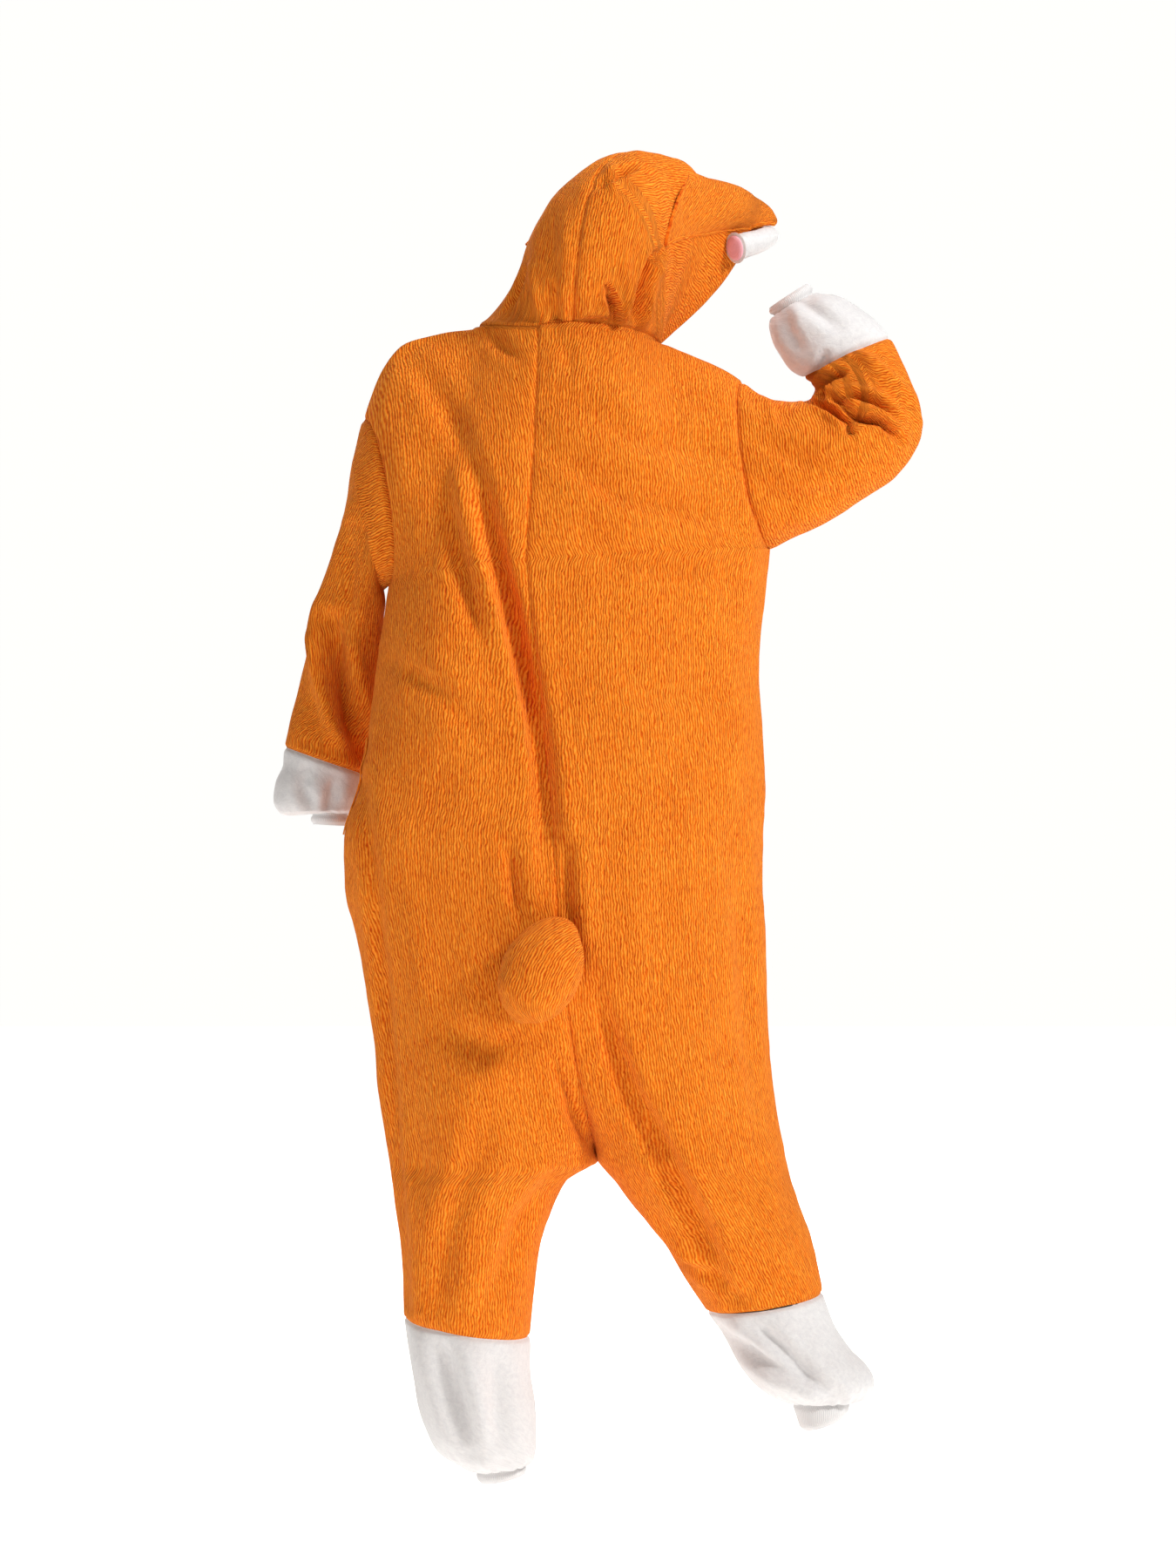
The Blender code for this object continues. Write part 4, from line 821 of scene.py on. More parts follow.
def snout_grid():
    """The form under the snout: the hood's own points, then a tongue of points past its edge."""
    _, forwards, _ = snout_frame()
    base_angle, edge_angle = SNOUT_HALF_ANGLE
    hood = table(HOOD)
    rows = []
    across = np.linspace(-1, 1, SNOUT_COLS + 1)
    for along in np.linspace(0, 1, SNOUT_ROWS):
        row = []
        for c in across:
            side = "right" if c > 0 else "left"
            start = SNOUT_BASE_TOP + (SNOUT_BASE_SIDE - SNOUT_BASE_TOP) * c**2
            place = start + (1 - start) * along
            reach = base_angle + (edge_angle - base_angle) * along**SNOUT_SIDES_EASE
            sweep = float(smooth(hood["place"], hood["end"], place))
            row.append(hood_arc(side, place, [abs(c) * reach / sweep])[0])
        rows.append(row)
    last = np.array(rows[-1])
    middle = last[SNOUT_COLS // 2]
    for along in np.linspace(0, 1, SNOUT_TIP_ROWS + 1)[1:]:
        slim = math.sqrt(1 - (SNOUT_TIP_ROUND[0] * along)**SNOUT_TIP_ROUND[1])
        spot = middle + forwards * SNOUT_REACH * along + [0, 0, SNOUT_RISE * along]
        sides = (last - middle) * np.array([slim, slim, SNOUT_TIP_FLAT * slim])
        bow = forwards * (SNOUT_REACH * SNOUT_TIP_BOW * along * (1 - across[:, None]**2))
        rows.append(spot + sides + bow)
    return np.array(rows)


def snout_loft():
    """Padding height over the form, nothing at the base seam and round at the rim."""
    across = np.linspace(-1, 1, SNOUT_COLS + 1)
    base = np.linspace(0, 1, SNOUT_ROWS)
    rise = 0.03 + 0.97 * (1 - np.cos(base * math.pi)) / 2
    tip = 1 - SNOUT_TIP_THIN * np.linspace(0, 1, SNOUT_TIP_ROWS + 1)[1:]**1.2
    along = np.concatenate([rise, tip])
    sides = SNOUT_SIDE_LOFT + (1 - SNOUT_SIDE_LOFT) * np.sqrt(1 - across**2)
    return SNOUT_LOFT * along[:, None] * sides[None, :]


def ease(grid, rounds):
    """Smooth a grid along its rows, between its first and last."""
    grid = grid.copy()
    for _ in range(rounds):
        grid[1:-1] = (grid[:-2] + 2 * grid[1:-1] + grid[2:]) / 4
    return grid


def relax(patch, rounds):
    """Spread the corner of a patch's last row over the rows before it."""
    patch = patch.copy()
    weight = np.linspace(0, 1, len(patch))[:-1, None, None]
    for _ in range(rounds):
        mean = (patch[:-1, :-2] + 2 * patch[:-1, 1:-1] + patch[:-1, 2:]) / 4
        patch[:-1, 1:-1] += weight * (mean - patch[:-1, 1:-1])
    return patch


def lip_path():
    """Centre points and radii of the lip, from the right end round the tip to the left end."""
    edge, forwards, right = snout_frame()
    rows = resample(table(LIP), LIP_ROWS // 2 + 1)
    points = edge * [1, 1, 0] + forwards * rows["forward"][:, None] + right * rows["side"][:, None]
    points[:, 2] = rows["z"]
    far = rows["side"] + LIP_FAR_EASE * rows["side"] / rows["side"][0]
    mirrored = points - right * (rows["side"] + far)[:, None]
    radii = rows["radius"]
    return np.concatenate([points, mirrored[-2::-1]]), np.concatenate([radii, radii[-2::-1]])


def rings_about(line, up, wide, deep, count):
    """Rings round a line of points, wide across it and deep along the up side."""
    heading = unit(np.gradient(line, axis=0))
    aside = unit(np.cross(heading, up))
    over = np.cross(aside, heading)
    turn = (np.arange(count) / count * 2 * math.pi)[None, :, None]
    return (line[:, None] + wide[:, None, None] * aside[:, None] * np.cos(turn)
            + deep[:, None, None] * over[:, None] * np.sin(turn))


def lip_rings():
    points, radii = lip_path()
    return rings_about(points, UP, radii, radii, LIP_SIDES)


# Tail, placket, buttons and pocket

def tail_rings():
    rows = resample(table(TAIL), TAIL_ROWS)
    points = np.stack([rows["x"], rows["y"], rows["z"]], -1)
    return rings_about(points, np.array([0, -1.0, 0]), rows["width"], rows["depth"], TAIL_SIDES)


# Cloth shells

def surface_normals(grid, closed):
    """Unit normals of a grid, pointing to the left of its rows."""
    down = np.gradient(grid, axis=0)
    if closed:
        across = (np.roll(grid, -1, 1) - np.roll(grid, 1, 1)) / 2
    else:
        across = np.gradient(grid, axis=1)
    return unit(np.cross(down, across))


def orient(grid, normals, inside):
    """Flip the normals where they point to the inside."""
    outward = np.sum((grid - inside) * normals)
    return normals if outward > 0 else -normals


def place_key(point):
    return tuple(np.floor((point + KEY_SHIFT) / KEY_STEP).astype(int))


def inward(panel):
    """Directions from each edge point of a panel into it, nothing elsewhere."""
    grid = panel["grid"]
    ways = np.zeros(grid.shape)
    ways[0] += unit(grid[1] - grid[0])
    ways[-1] += unit(grid[-2] - grid[-1])
    if not panel["closed"]:
        ways[:, 0] += unit(grid[:, 1] - grid[:, 0])
        ways[:, -1] += unit(grid[:, -2] - grid[:, -1])
    return ways


def share_normals(panels):
    """Points that several panels share get one wall direction, so that their walls meet squarely.

    Where panels fold back on each other, as in an armpit, their normals cancel, and the ways into the
    panels give the direction."""
    shared = {}
    for panel in panels:
        for point, normal, way in zip(panel["grid"].reshape(-1, 3), panel["normals"].reshape(-1, 3),
                                      inward(panel).reshape(-1, 3)):
            shared.setdefault(place_key(point), []).append((normal, way))
    walls = {}
    for key, entries in shared.items():
        normal = sum(entry[0] for entry in entries) / len(entries)
        way = sum(entry[1] for entry in entries) / len(entries)
        if len(entries) > 1:
            bend = sum(a[1] @ b[0] for a in entries for b in entries if a is not b)
            cancelled = max(FOLDED_BACK - np.linalg.norm(normal), 0)
            normal = normal + cancelled * way * (1 if bend > -0.1 else -1)
        walls[key] = normal
    for panel in panels:
        flat = panel["grid"].reshape(-1, 3)
        summed = np.array([walls[place_key(point)] for point in flat])
        panel["normals"] = unit(summed).reshape(panel["grid"].shape)


LATTICE = np.random.default_rng(NOISE_SEED).uniform(-1, 1, (NOISE_SIDE,) * 3)


def lattice_noise(points):
    """Smooth noise from -1 to 1, one cell to a unit."""
    cell = np.floor(points).astype(int)
    share = points - cell
    share = share * share * (3 - 2 * share)
    total = np.zeros(points.shape[:-1])
    for corner in np.ndindex(2, 2, 2):
        weight = np.prod(np.where(np.array(corner) == 1, share, 1 - share), axis=-1)
        spot = (cell + corner) % NOISE_SIDE
        total += weight * LATTICE[spot[..., 0], spot[..., 1], spot[..., 2]]
    return total


def creased(points, normals):
    """Height of the creases over the form."""
    push = np.zeros(points.shape[:-1])
    for face, is_ridge, depth, half, path in presses(CREASES):
        gap, share = distance_to_path(points[..., 0], points[..., 2], path)
        facing = np.clip(0.10 + 2.0 * face * normals[..., 1], 0, 1)
        fade = CREASE_DEPTH * depth * facing * np.sin(math.pi * np.clip(share, 0.04, 0.96))**0.5
        middle = np.exp(-(gap / half)**2)
        if is_ridge:
            push += fade * middle
        else:
            push += fade * (LIP_OF_TROUGH * np.exp(-((gap - 2 * half) / half)**2) - middle)
    return push


def waved(points, share=1.0):
    """Height of the cloth's irregular waves."""
    return share * sum(height * lattice_noise(points / (x, y, z)) for x, y, z, height in WAVES)


def run_lengths(grid, axis):
    steps = np.linalg.norm(np.diff(grid, axis=axis), axis=-1)
    start = np.zeros_like(np.take(steps, [0], axis=axis))
    return np.concatenate([start, np.cumsum(steps, axis=axis)], axis=axis)


def edge_distance(grid, closed):
    """Distance of each point from the nearest edge of its piece."""
    down = run_lengths(grid, 0)
    gap = np.minimum(down, down[-1:] - down)
    if not closed:
        across = run_lengths(grid, 1)
        gap = np.minimum(gap, np.minimum(across, across[:, -1:] - across))
    return gap


def relief(panel):
    """Height of all that shapes a panel's cloth over its form."""
    grid, normals = panel["grid"], panel["normals"]
    gap = edge_distance(grid, panel["closed"])
    band = panel["name"].startswith(("cuff", "ankle"))
    push = np.zeros(grid.shape[:2])
    if not band:
        push += creased(grid, normals) + waved(grid)
        push += PUCKER * np.exp(-(gap / PUCKER_REACH)**2) * lattice_noise(grid / PUCKER_SIZE)
    if panel["name"] in GATHERS:
        count, depth = GATHERS[panel["name"]]
        rows, columns = grid.shape[:2]
        left = np.linspace(1, 0, rows)[:, None]
        turn = np.arange(columns)[None, :] / columns * 2 * math.pi
        wobble = 0.9 * lattice_noise(np.stack([np.cos(turn) * 2, np.sin(turn) * 2, turn * 0], -1))
        near = np.exp(-(left / GATHER_REACH)**2) * (1 - np.exp(-(left / 0.05)**2))
        push += depth * near * np.sin(count * (turn + 0.25 * wobble))
    ease = 1 - np.exp(-(gap / 0.012)**2)
    push = push * (0.25 + 0.75 * ease) if not band else push
    return push - SEAM_DIP * np.exp(-(gap / SEAM_REACH)**2)


def hanging_grain(grid):
    """Level distance of each point from a line down the middle of its panel."""
    steps = np.linalg.norm(np.diff(grid[..., :2], axis=1), axis=-1)
    run = np.concatenate([np.zeros((len(grid), 1)), np.cumsum(steps, axis=1)], axis=1)
    middle = (grid[..., 0].min(axis=1) + grid[..., 0].max(axis=1)) / 2
    order = 1 if grid[0, -1, 0] > grid[0, 0, 0] else -1
    at = [np.interp(x, row[::order, 0], lengths[::order]) for x, row, lengths in zip(middle, grid, run)]
    return run - ease(np.array(at)[:, None, None], GRAIN_EASE)[..., 0]


def sheet_mesh(name, outer, inner, closed, turned=False, hanging=None):
    """A shell between two like grids, with its grain as UV in metres."""
    rows, columns = outer.shape[:2]
    below = rows * columns
    spans = columns if closed else columns - 1
    wide = np.concatenate([outer, outer[:, :1]], 1) if closed else outer
    u = run_lengths(wide, 1)
    v = run_lengths(wide, 0)
    if turned:
        u, v = v, u
    if hanging is not None:
        u = hanging_grain(hanging)
    i, j = np.meshgrid(np.arange(rows - 1), np.arange(spans), indexing="ij")
    i, j = i.ravel(), j.ravel()
    k = (j + 1) % columns
    quads = np.stack([i * columns + j, i * columns + k, (i + 1) * columns + k, (i + 1) * columns + j], 1)
    corners = [(i, j), (i, j + 1), (i + 1, j + 1), (i + 1, j)]
    grain = np.stack([np.stack([u[a, b], v[a, b]], -1) for a, b in corners], 1)
    faces = [quads, quads[:, ::-1] + below]
    grains = [grain, grain[:, ::-1]]
    edges = [[(a, (a + 1) % columns) for a in range(spans)]]
    edges.append([((rows - 1) * columns + b, (rows - 1) * columns + a) for a, b in edges[0]])
    if not closed:
        edges.append([((a + 1) * columns, a * columns) for a in range(rows - 1)])
        edges.append([(a * columns + columns - 1, (a + 1) * columns + columns - 1) for a in range(rows - 1)])
    rim = np.array([(b, a, a + below, b + below) for group in edges for a, b in group])
    flat_u, flat_v = u[:, :columns].ravel(), v[:, :columns].ravel()
    faces.append(rim)
    grains.append(np.stack([flat_u[rim % below], flat_v[rim % below]], -1))
    return mesh_object(name, np.concatenate([outer.reshape(-1, 3), inner.reshape(-1, 3)]),
                       np.concatenate(faces).tolist(), np.concatenate(grains).reshape(-1, 2))


def tube_mesh(name, rings):
    """A closed form through rings, rounded off at both ends by its own rings."""
    count, around = rings.shape[:2]
    wide = np.concatenate([rings, rings[:, :1]], 1)
    u, v = run_lengths(wide, 1), run_lengths(wide, 0)
    faces, grains = [], []
    for i in range(count - 1):
        for j in range(around):
            k = (j + 1) % around
            faces.append([i * around + j, i * around + k, (i + 1) * around + k, (i + 1) * around + j])
            grains += [(u[a, b], v[a, b]) for a, b in ((i, j), (i, j + 1), (i + 1, j + 1), (i + 1, j))]
    for row, order in ((0, range(around - 1, -1, -1)), (count - 1, range(around))):
        faces.append([row * around + j for j in order])
        grains += [(u[row, j], v[row, j]) for j in order]
    return mesh_object(name, rings.reshape(-1, 3), faces, np.array(grains))


def mesh_object(name, vertices, faces, grain=None):
    mesh = bpy.data.meshes.new(name)
    mesh.from_pydata(np.asarray(vertices).tolist(), [], faces)
    if grain is not None:
        layer = mesh.uv_layers.new(name="grain")
        layer.data.foreach_set("uv", np.asarray(grain, dtype=np.float32).ravel())
    work = bmesh.new()
    work.from_mesh(mesh)
    bmesh.ops.remove_doubles(work, verts=work.verts, dist=1e-6)
    bmesh.ops.recalc_face_normals(work, faces=work.faces)
    if work.calc_volume(signed=True) < 0:
        bmesh.ops.reverse_faces(work, faces=work.faces)
    work.to_mesh(mesh)
    work.free()
    mesh.shade_smooth()
    mesh.set_sharp_from_angle(angle=math.radians(60))
    thing = bpy.data.objects.new(name, mesh)
    bpy.context.scene.collection.objects.link(thing)
    return thing


def belong(thing, material):
    """Give a piece its finish and hang it from the root's empty."""
    thing.data.materials.append(material)
    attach(thing, "root")


def place(thing, node, material):
    """Make the piece stand for its node and take its finish."""
    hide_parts(node)
    belong(thing, material)
    return thing


# Materials

class Nodes:
    """A principled material with short ways to add nodes."""

    def __init__(self, name, roughness, sheen=0.0, sheen_tint=(1, 1, 1, 1), specular=0.5):
        self.material = bpy.data.materials.new(name)
        self.material.use_nodes = True
        self.tree = self.material.node_tree
        self.shader = self.tree.nodes["Principled BSDF"]
        self.shader.inputs["Roughness"].default_value = roughness
        self.shader.inputs["Sheen Weight"].default_value = sheen
        self.shader.inputs["Sheen Roughness"].default_value = 0.5
        self.shader.inputs["Sheen Tint"].default_value = sheen_tint
        self.shader.inputs["Specular IOR Level"].default_value = specular

    def add(self, kind, settings=None, **inputs):
        node = self.tree.nodes.new(kind)
        for key, value in (settings or {}).items():
            setattr(node, key, value)
        for key, value in inputs.items():
            self.feed(node.inputs[key.replace("_", " ")], value)
        return node

    def feed(self, socket, value):
        if isinstance(value, bpy.types.NodeSocket):
            self.tree.links.new(value, socket)
        else:
            socket.default_value = value

    def math(self, operation, first, second=0.0):
        node = self.add("ShaderNodeMath", {"operation": operation})
        self.feed(node.inputs[0], first)
        self.feed(node.inputs[1], second)
        return node.outputs[0]

    def grain(self, across, along_):
        """The cloth's own coordinates, stretched along and across its grain."""
        layer = self.add("ShaderNodeUVMap", {"uv_map": "grain"})
        scaled = self.add("ShaderNodeMapping", Vector=layer.outputs["UV"], Scale=(across, along_, 1.0))
        return scaled.outputs[0]

    def noise(self, vector, scale, detail=2.0, roughness=0.5, distortion=0.0):
        return self.add("ShaderNodeTexNoise", Vector=vector, Scale=scale, Detail=detail, Roughness=roughness,
                        Distortion=distortion).outputs["Fac"]

    def colours(self, value, *stops):
        ramp = self.add("ShaderNodeValToRGB", Fac=value)
        elements = ramp.color_ramp.elements
        while len(elements) < len(stops):
            elements.new(0.5)
        for element, (at, colour) in zip(elements, stops):
            element.position = at
            element.color = (*colour, 1.0)
        return ramp.outputs["Color"]

    def bump(self, height, strength, distance, under=None):
        node = self.add("ShaderNodeBump", Height=height, Strength=strength, Distance=distance)
        if under is not None:
            self.feed(node.inputs["Normal"], under)
        return node.outputs["Normal"]

    def finish(self, colour, normal):
        self.feed(self.shader.inputs["Base Color"], colour)
        self.feed(self.shader.inputs["Normal"], normal)
        return self.material


def crinkled_fleece(name="crinkled_fleece", dark=(0.50, 0.048, 0.002), mid=(0.80, 0.172, 0.008),
                    painted_light=(0.92, 0.320, 0.032)):
    """Orange fleece with fine wavy ribs along its grain, painted darker in the rib valleys and lighter on the
    crests.
    """
    m = Nodes(name, 0.92, 0.16, (1.0, 0.55, 0.20, 1.0), 0.06)
    plain = m.grain(1.0, 0.45)
    sway = m.noise(plain, 120.0, 2.0)
    shift = m.add("ShaderNodeCombineXYZ", X=m.math("MULTIPLY", sway, 0.0060))
    bent = m.add("ShaderNodeVectorMath", {"operation": "ADD"})
    m.feed(bent.inputs[0], m.grain(1.0, 1.0))
    m.feed(bent.inputs[1], shift.outputs[0])
    ribs = m.add("ShaderNodeTexWave", {"wave_type": "BANDS", "bands_direction": "X"}, Vector=bent.outputs[0],
                 Scale=96.0, Distortion=2.4, Detail=1.5, Detail_Scale=1.4).outputs["Fac"]
    broken = m.noise(m.grain(1.0, 0.32), 390.0, 2.0, 0.6, 0.4)
    ribs = m.math("ADD", m.math("MULTIPLY", ribs, 0.45), m.math("MULTIPLY", broken, 0.75))
    nap = m.noise(m.grain(1.0, 1.0), 1500.0, 2.0, 0.7)
    patches = m.noise(m.grain(1.0, 1.0), 14.0, 3.0, 0.6)
    height = m.math("ADD", m.math("MULTIPLY", ribs, 0.85), m.math("MULTIPLY", patches, 0.18))
    # Colour by rib height: the dark stop is painted shade in the rib valleys and the light stop a painted
    # highlight on the crests; the broad patches vary the tone at random.
    colour = m.colours(height, (0.30, dark), (0.56, mid), (0.86, painted_light))
    return m.finish(colour, m.bump(nap, 0.40, 0.0006, m.bump(ribs, 1.0, 0.0021)))


def smooth_fleece(name="smooth_fleece", painted_shade=(0.54, 0.53, 0.55), painted_light=(0.69, 0.68, 0.68)):
    """White fleece with a short soft nap, painted darker in the hollows of its nap and tufts."""
    m = Nodes(name, 0.95, 0.5, (1.0, 1.0, 1.0, 1.0), 0.1)
    nap = m.noise(m.grain(1.0, 1.0), 900.0, 3.0, 0.7)
    tufts = m.noise(m.grain(1.0, 1.0), 170.0, 3.0, 0.6, 0.6)
    both = m.math("ADD", m.math("MULTIPLY", nap, 0.45), m.math("MULTIPLY", tufts, 0.55))
    # The darker stop is painted shade in the hollows of the nap and tufts, where the bump is low; the lighter
    # stop is their lit tops.
    colour = m.colours(both, (0.25, painted_shade), (0.62, painted_light))
    return m.finish(colour, m.bump(nap, 0.4, 0.0007, m.bump(tufts, 0.45, 0.0016)))


def rib_knit(name="rib_knit", period=0.0024):
    """White rib band, its ribs along the limb."""
    m = Nodes(name, 0.9, 0.25, (1.0, 1.0, 1.0, 1.0), 0.2)
    wales = m.add("ShaderNodeTexWave", {"wave_type": "BANDS", "bands_direction": "X"},
                  Vector=m.grain(1.0, 1.0), Scale=2 * math.pi / (20 * period), Distortion=0.4,
                  Detail=1.0).outputs["Fac"]
    loops = m.noise(m.grain(1.0, 1.6), 900.0, 2.0)
    # Painted shade: the colour is darker in the grooves between the wales, where the bump is low.
    colour = m.colours(wales, (0.1, (0.60, 0.59, 0.60)), (0.6, (0.72, 0.71, 0.71)))
    return m.finish(colour, m.bump(loops, 0.2, 0.0003, m.bump(wales, 0.5, 0.0006)))


def plain_thread(name, colour):
    m = Nodes(name, 0.7, 0.2, (1, 1, 1, 1), 0.3)
    where = m.add("ShaderNodeTexCoord").outputs["Object"]
    twist = m.noise(where, 2500.0, 1.0)
    dark = tuple(0.75 * c for c in colour)
    return m.finish(m.colours(twist, (0.3, dark), (0.7, colour)), m.bump(twist, 0.4, 0.0002))


def moulded(name="moulded_button", colour=(0.86, 0.84, 0.80)):
    m = Nodes(name, 0.32, 0.0, (1, 1, 1, 1), 0.5)
    where = m.add("ShaderNodeTexCoord").outputs["Object"]
    cloud = m.noise(where, 160.0, 3.0, 0.6, 1.2)
    scratch = m.noise(where, 1400.0, 1.0)
    dark = tuple(0.86 * c for c in colour)
    return m.finish(m.colours(cloud, (0.3, dark), (0.7, colour)), m.bump(scratch, 0.06, 0.0002))


# Cloth pieces

def cloth_panels():
    panels = []
    axis_of = {"left": np.array([-0.10, 0.0, 0.0]), "right": np.array([0.12, 0.0, 0.0])}
    for name in ("back_left", "back_right", "front_left", "front_right"):
        grid = body_panel(name)
        inside = np.broadcast_to(axis_of[name.split("_")[1]], grid.shape).copy()
        inside[..., 2] = grid[..., 2]
        add_panel(panels, name, grid, inside)
    for side in ("left", "right"):
        grid = sleeve(side)
        add_panel(panels, "sleeve_" + side, grid, grid.mean(axis=1, keepdims=True), closed=True)
    for name, text, count, first, wall in TUBES:
        side = name.split("_")[-1]
        turns = leg_turns(side) if name.startswith(("leg", "ankle")) else sleeve_turns()
        grid = tube(text, count, turns, first)
        add_panel(panels, name, grid, grid.mean(axis=1, keepdims=True), wall, closed=True)
    for side in ("left", "right"):
        add_panel(panels, "hood_" + side, hood_panel(side), np.array([0.07, 0.01, 0.09]))
    share_normals(panels)
    for panel in panels:
        panel["grid"] = near_edges(panel["grid"], panel["closed"])
        panel["normals"] = unit(near_edges(panel["normals"], panel["closed"]))
        panel["outer"] = panel["grid"] + panel["normals"] * relief(panel)[..., None]
    return {panel["name"]: panel for panel in panels}


def near_edges(grid, closed):
    """Add rows and columns close to the sewn edges, where the grooves lie."""
    for axis in (0,) if closed else (0, 1):
        grid = np.swapaxes(grid, 0, axis)
        first = [grid[:1] + (grid[1:2] - grid[:1]) * share for share in EDGE_SHARES]
        last = [grid[-1:] + (grid[-2:-1] - grid[-1:]) * share for share in EDGE_SHARES[::-1]]
        grid = np.concatenate([grid[:1], *first, grid[1:-1], *last, grid[-1:]])
        grid = np.swapaxes(grid, 0, axis)
    return grid


def add_panel(panels, name, grid, inside, wall=WALL, closed=False):
    normals = orient(grid, surface_normals(grid, closed), inside)
    if not normals[0].any():
        normals[0] = unit(normals[1].mean(axis=0))
    panels.append({"name": name, "grid": grid, "normals": normals, "closed": closed, "wall": wall})


def point_along(run, points, at):
    """The point at a distance along a line of points."""
    return np.array([np.interp(at, run, points[:, i]) for i in range(3)])


def walk(line, distance):
    """The point at a distance from a line's first point."""
    run = np.concatenate([[0], np.cumsum(np.linalg.norm(np.diff(line, axis=0), axis=1))])
    return point_along(run, line, distance)


def strip(name, base, lift, thick, towards):
    """A flat strip lying on panels: their own points moved out, its long edges turned down."""
    normals = orient(base, surface_normals(base, False), base.mean(axis=(0, 1)) - towards)
    across = np.abs(np.linspace(-1, 1, base.shape[1]))[None, :, None]
    crown = thick * (1 - 0.65 * across**6)
    return sheet_mesh(name, base + normals * (lift + crown), base + normals * lift, False), normals


def placket_base(panels):
    left, right = panels["front_left"]["outer"], panels["front_right"]["outer"]
    rows = [i for i in range(len(left)) if PLACKET_Z[1] < left[i, -1, 2] < PLACKET_Z[0]]
    steps = np.linspace(PLACKET_HALF, 0, 7)[:-1]
    lines = []
    for row in rows:
        near = [walk(left[row, ::-1], step) for step in steps]
        far = [walk(right[row, ::-1], step) for step in steps[::-1]]
        lines.append(near + [(left[row, -1] + right[row, -1]) / 2] + far)
    base = np.array(lines)
    for _ in range(3):
        base[1:-1] = (base[:-2] + 2 * base[1:-1] + base[2:]) / 4
        base[:, 1:-1] = (base[:, :-2] + 2 * base[:, 1:-1] + base[:, 2:]) / 4
    return base


def welt_base(panels):
    outer = panels["back_left"]["outer"]
    rows = [i for i in range(len(outer)) if WELT_Z[1] < outer[i, 0, 2] < WELT_Z[0]]
    steps = WELT_OFFSET + WELT_HALF * np.linspace(-1, 1, 7)
    return np.array([[walk(outer[row], step) for step in steps] for row in rows])


def add_tube(vertices, faces, rings):
    """Add a small closed tube through rings of points."""
    first, around = len(vertices), len(rings[0])
    for points in rings:
        vertices += points
    last = first + (len(rings) - 1) * around
    for low in range(first, last, around):
        faces += [[low + j, low + (j + 1) % around, low + around + (j + 1) % around, low + around + j]
                  for j in range(around)]
    faces += [[first + j for j in range(around - 1, -1, -1)], [last + j for j in range(around)]]


def circle_about(middle, side, up, radius, count):
    turns = np.arange(count) / count * 2 * math.pi
    return [middle + (side * math.cos(turn) + up * math.sin(turn)) * radius for turn in turns]


def stitches(name, line, normals, length, gap, thick):
    """A row of small stitches along a line of points."""
    run = np.concatenate([[0], np.cumsum(np.linalg.norm(np.diff(line, axis=0), axis=1))])
    vertices, faces = [], []
    at = gap
    while at + length < run[-1]:
        ends = [point_along(run, line, at + length * t) for t in (0.0, 0.5, 1.0)]
        up = unit(point_along(run, normals, at + length / 2))
        side = np.cross(unit(ends[2] - ends[0]), up)
        add_tube(vertices, faces, [circle_about(end + up * thick * rise, side, up, thick / 2 * size, 6)
                                   for end, size, rise in zip(ends, (0.5, 1.0, 0.5), (0.1, 0.8, 0.1))])
        at += length + gap
    return mesh_object(name, vertices, faces)


def button_mesh(name, centre, normal, across):
    """A dished four-hole button, with discs that stand for its holes, and crossed thread."""
    down = np.cross(normal, across)
    rings = [circle_about(centre + normal * BUTTON_THICK * height, across, down, BUTTON_RADIUS * size,
                          BUTTON_SIDES) for size, height in BUTTON_PROFILE]
    body = tube_mesh(name, np.array(rings))
    face = centre + normal * BUTTON_THICK * BUTTON_DISH
    vertices, faces = [], []
    for dx, dy in ((1, 1), (-1, 1), (-1, -1), (1, -1)):
        hole = face + (across * dx + down * dy) * BUTTON_RADIUS * HOLE_PLACE
        add_tube(vertices, faces, [circle_about(hole + normal * height, across, down, HOLE_RADIUS, HOLE_SIDES)
                                   for height in HOLE_HEIGHTS])
    holes = mesh_object(name + "_holes", vertices, faces)
    bars, sides = [], []
    for dx in (1, -1):
        reach = (across * dx + down) * BUTTON_RADIUS * THREAD_REACH
        side = np.cross(unit(reach), normal)
        add_tube(bars, sides, [circle_about(face + reach * t + normal * rise, side, normal, THREAD_RADIUS, 8)
                               for t, rise in zip((-1, 0, 1), THREAD_RISE)])
    return body, holes, mesh_object(name + "_thread", bars, sides)


# Padded pieces

def snout_surfaces():
    lower = snout_grid()
    inside = lower.mean(axis=(0, 1)) - np.array([0.02, 0.02, 0.1])
    normals = orient(lower, surface_normals(lower, False), inside)
    normals = unit(ease(normals, SNOUT_EASE))
    gap = edge_distance(lower, False)
    full = snout_loft()
    rounded = np.sqrt(np.clip(1 - (1 - np.clip(gap / SNOUT_EDGE_ROUND, 0, 1))**2, 0, 1))
    loft = SNOUT_EDGE_LOFT + (full - SNOUT_EDGE_LOFT) * rounded
    wrinkle = waved(lower * 1.6, 0.55) + 0.0012 * np.exp(-(gap / 0.014)**2) * lattice_noise(lower / 0.009)
    upper = ease(lower + normals * (SNOUT_GAPS[1] + np.maximum(loft, 0.003))[..., None], 60)
    upper = ease(np.swapaxes(upper, 0, 1), 12)
    upper = np.swapaxes(upper, 0, 1) + normals * (wrinkle * rounded)[..., None]
    return upper, lower + normals * SNOUT_GAPS[1]


def piping(name, line, radius, around=10):
    """A round edge along a line of points."""
    size = radius * np.sqrt(np.clip(np.sin(np.linspace(0.02, math.pi - 0.02, len(line))) * 6, 0.05, 1))
    return tube_mesh(name, rings_about(line, UP, size, size, around))


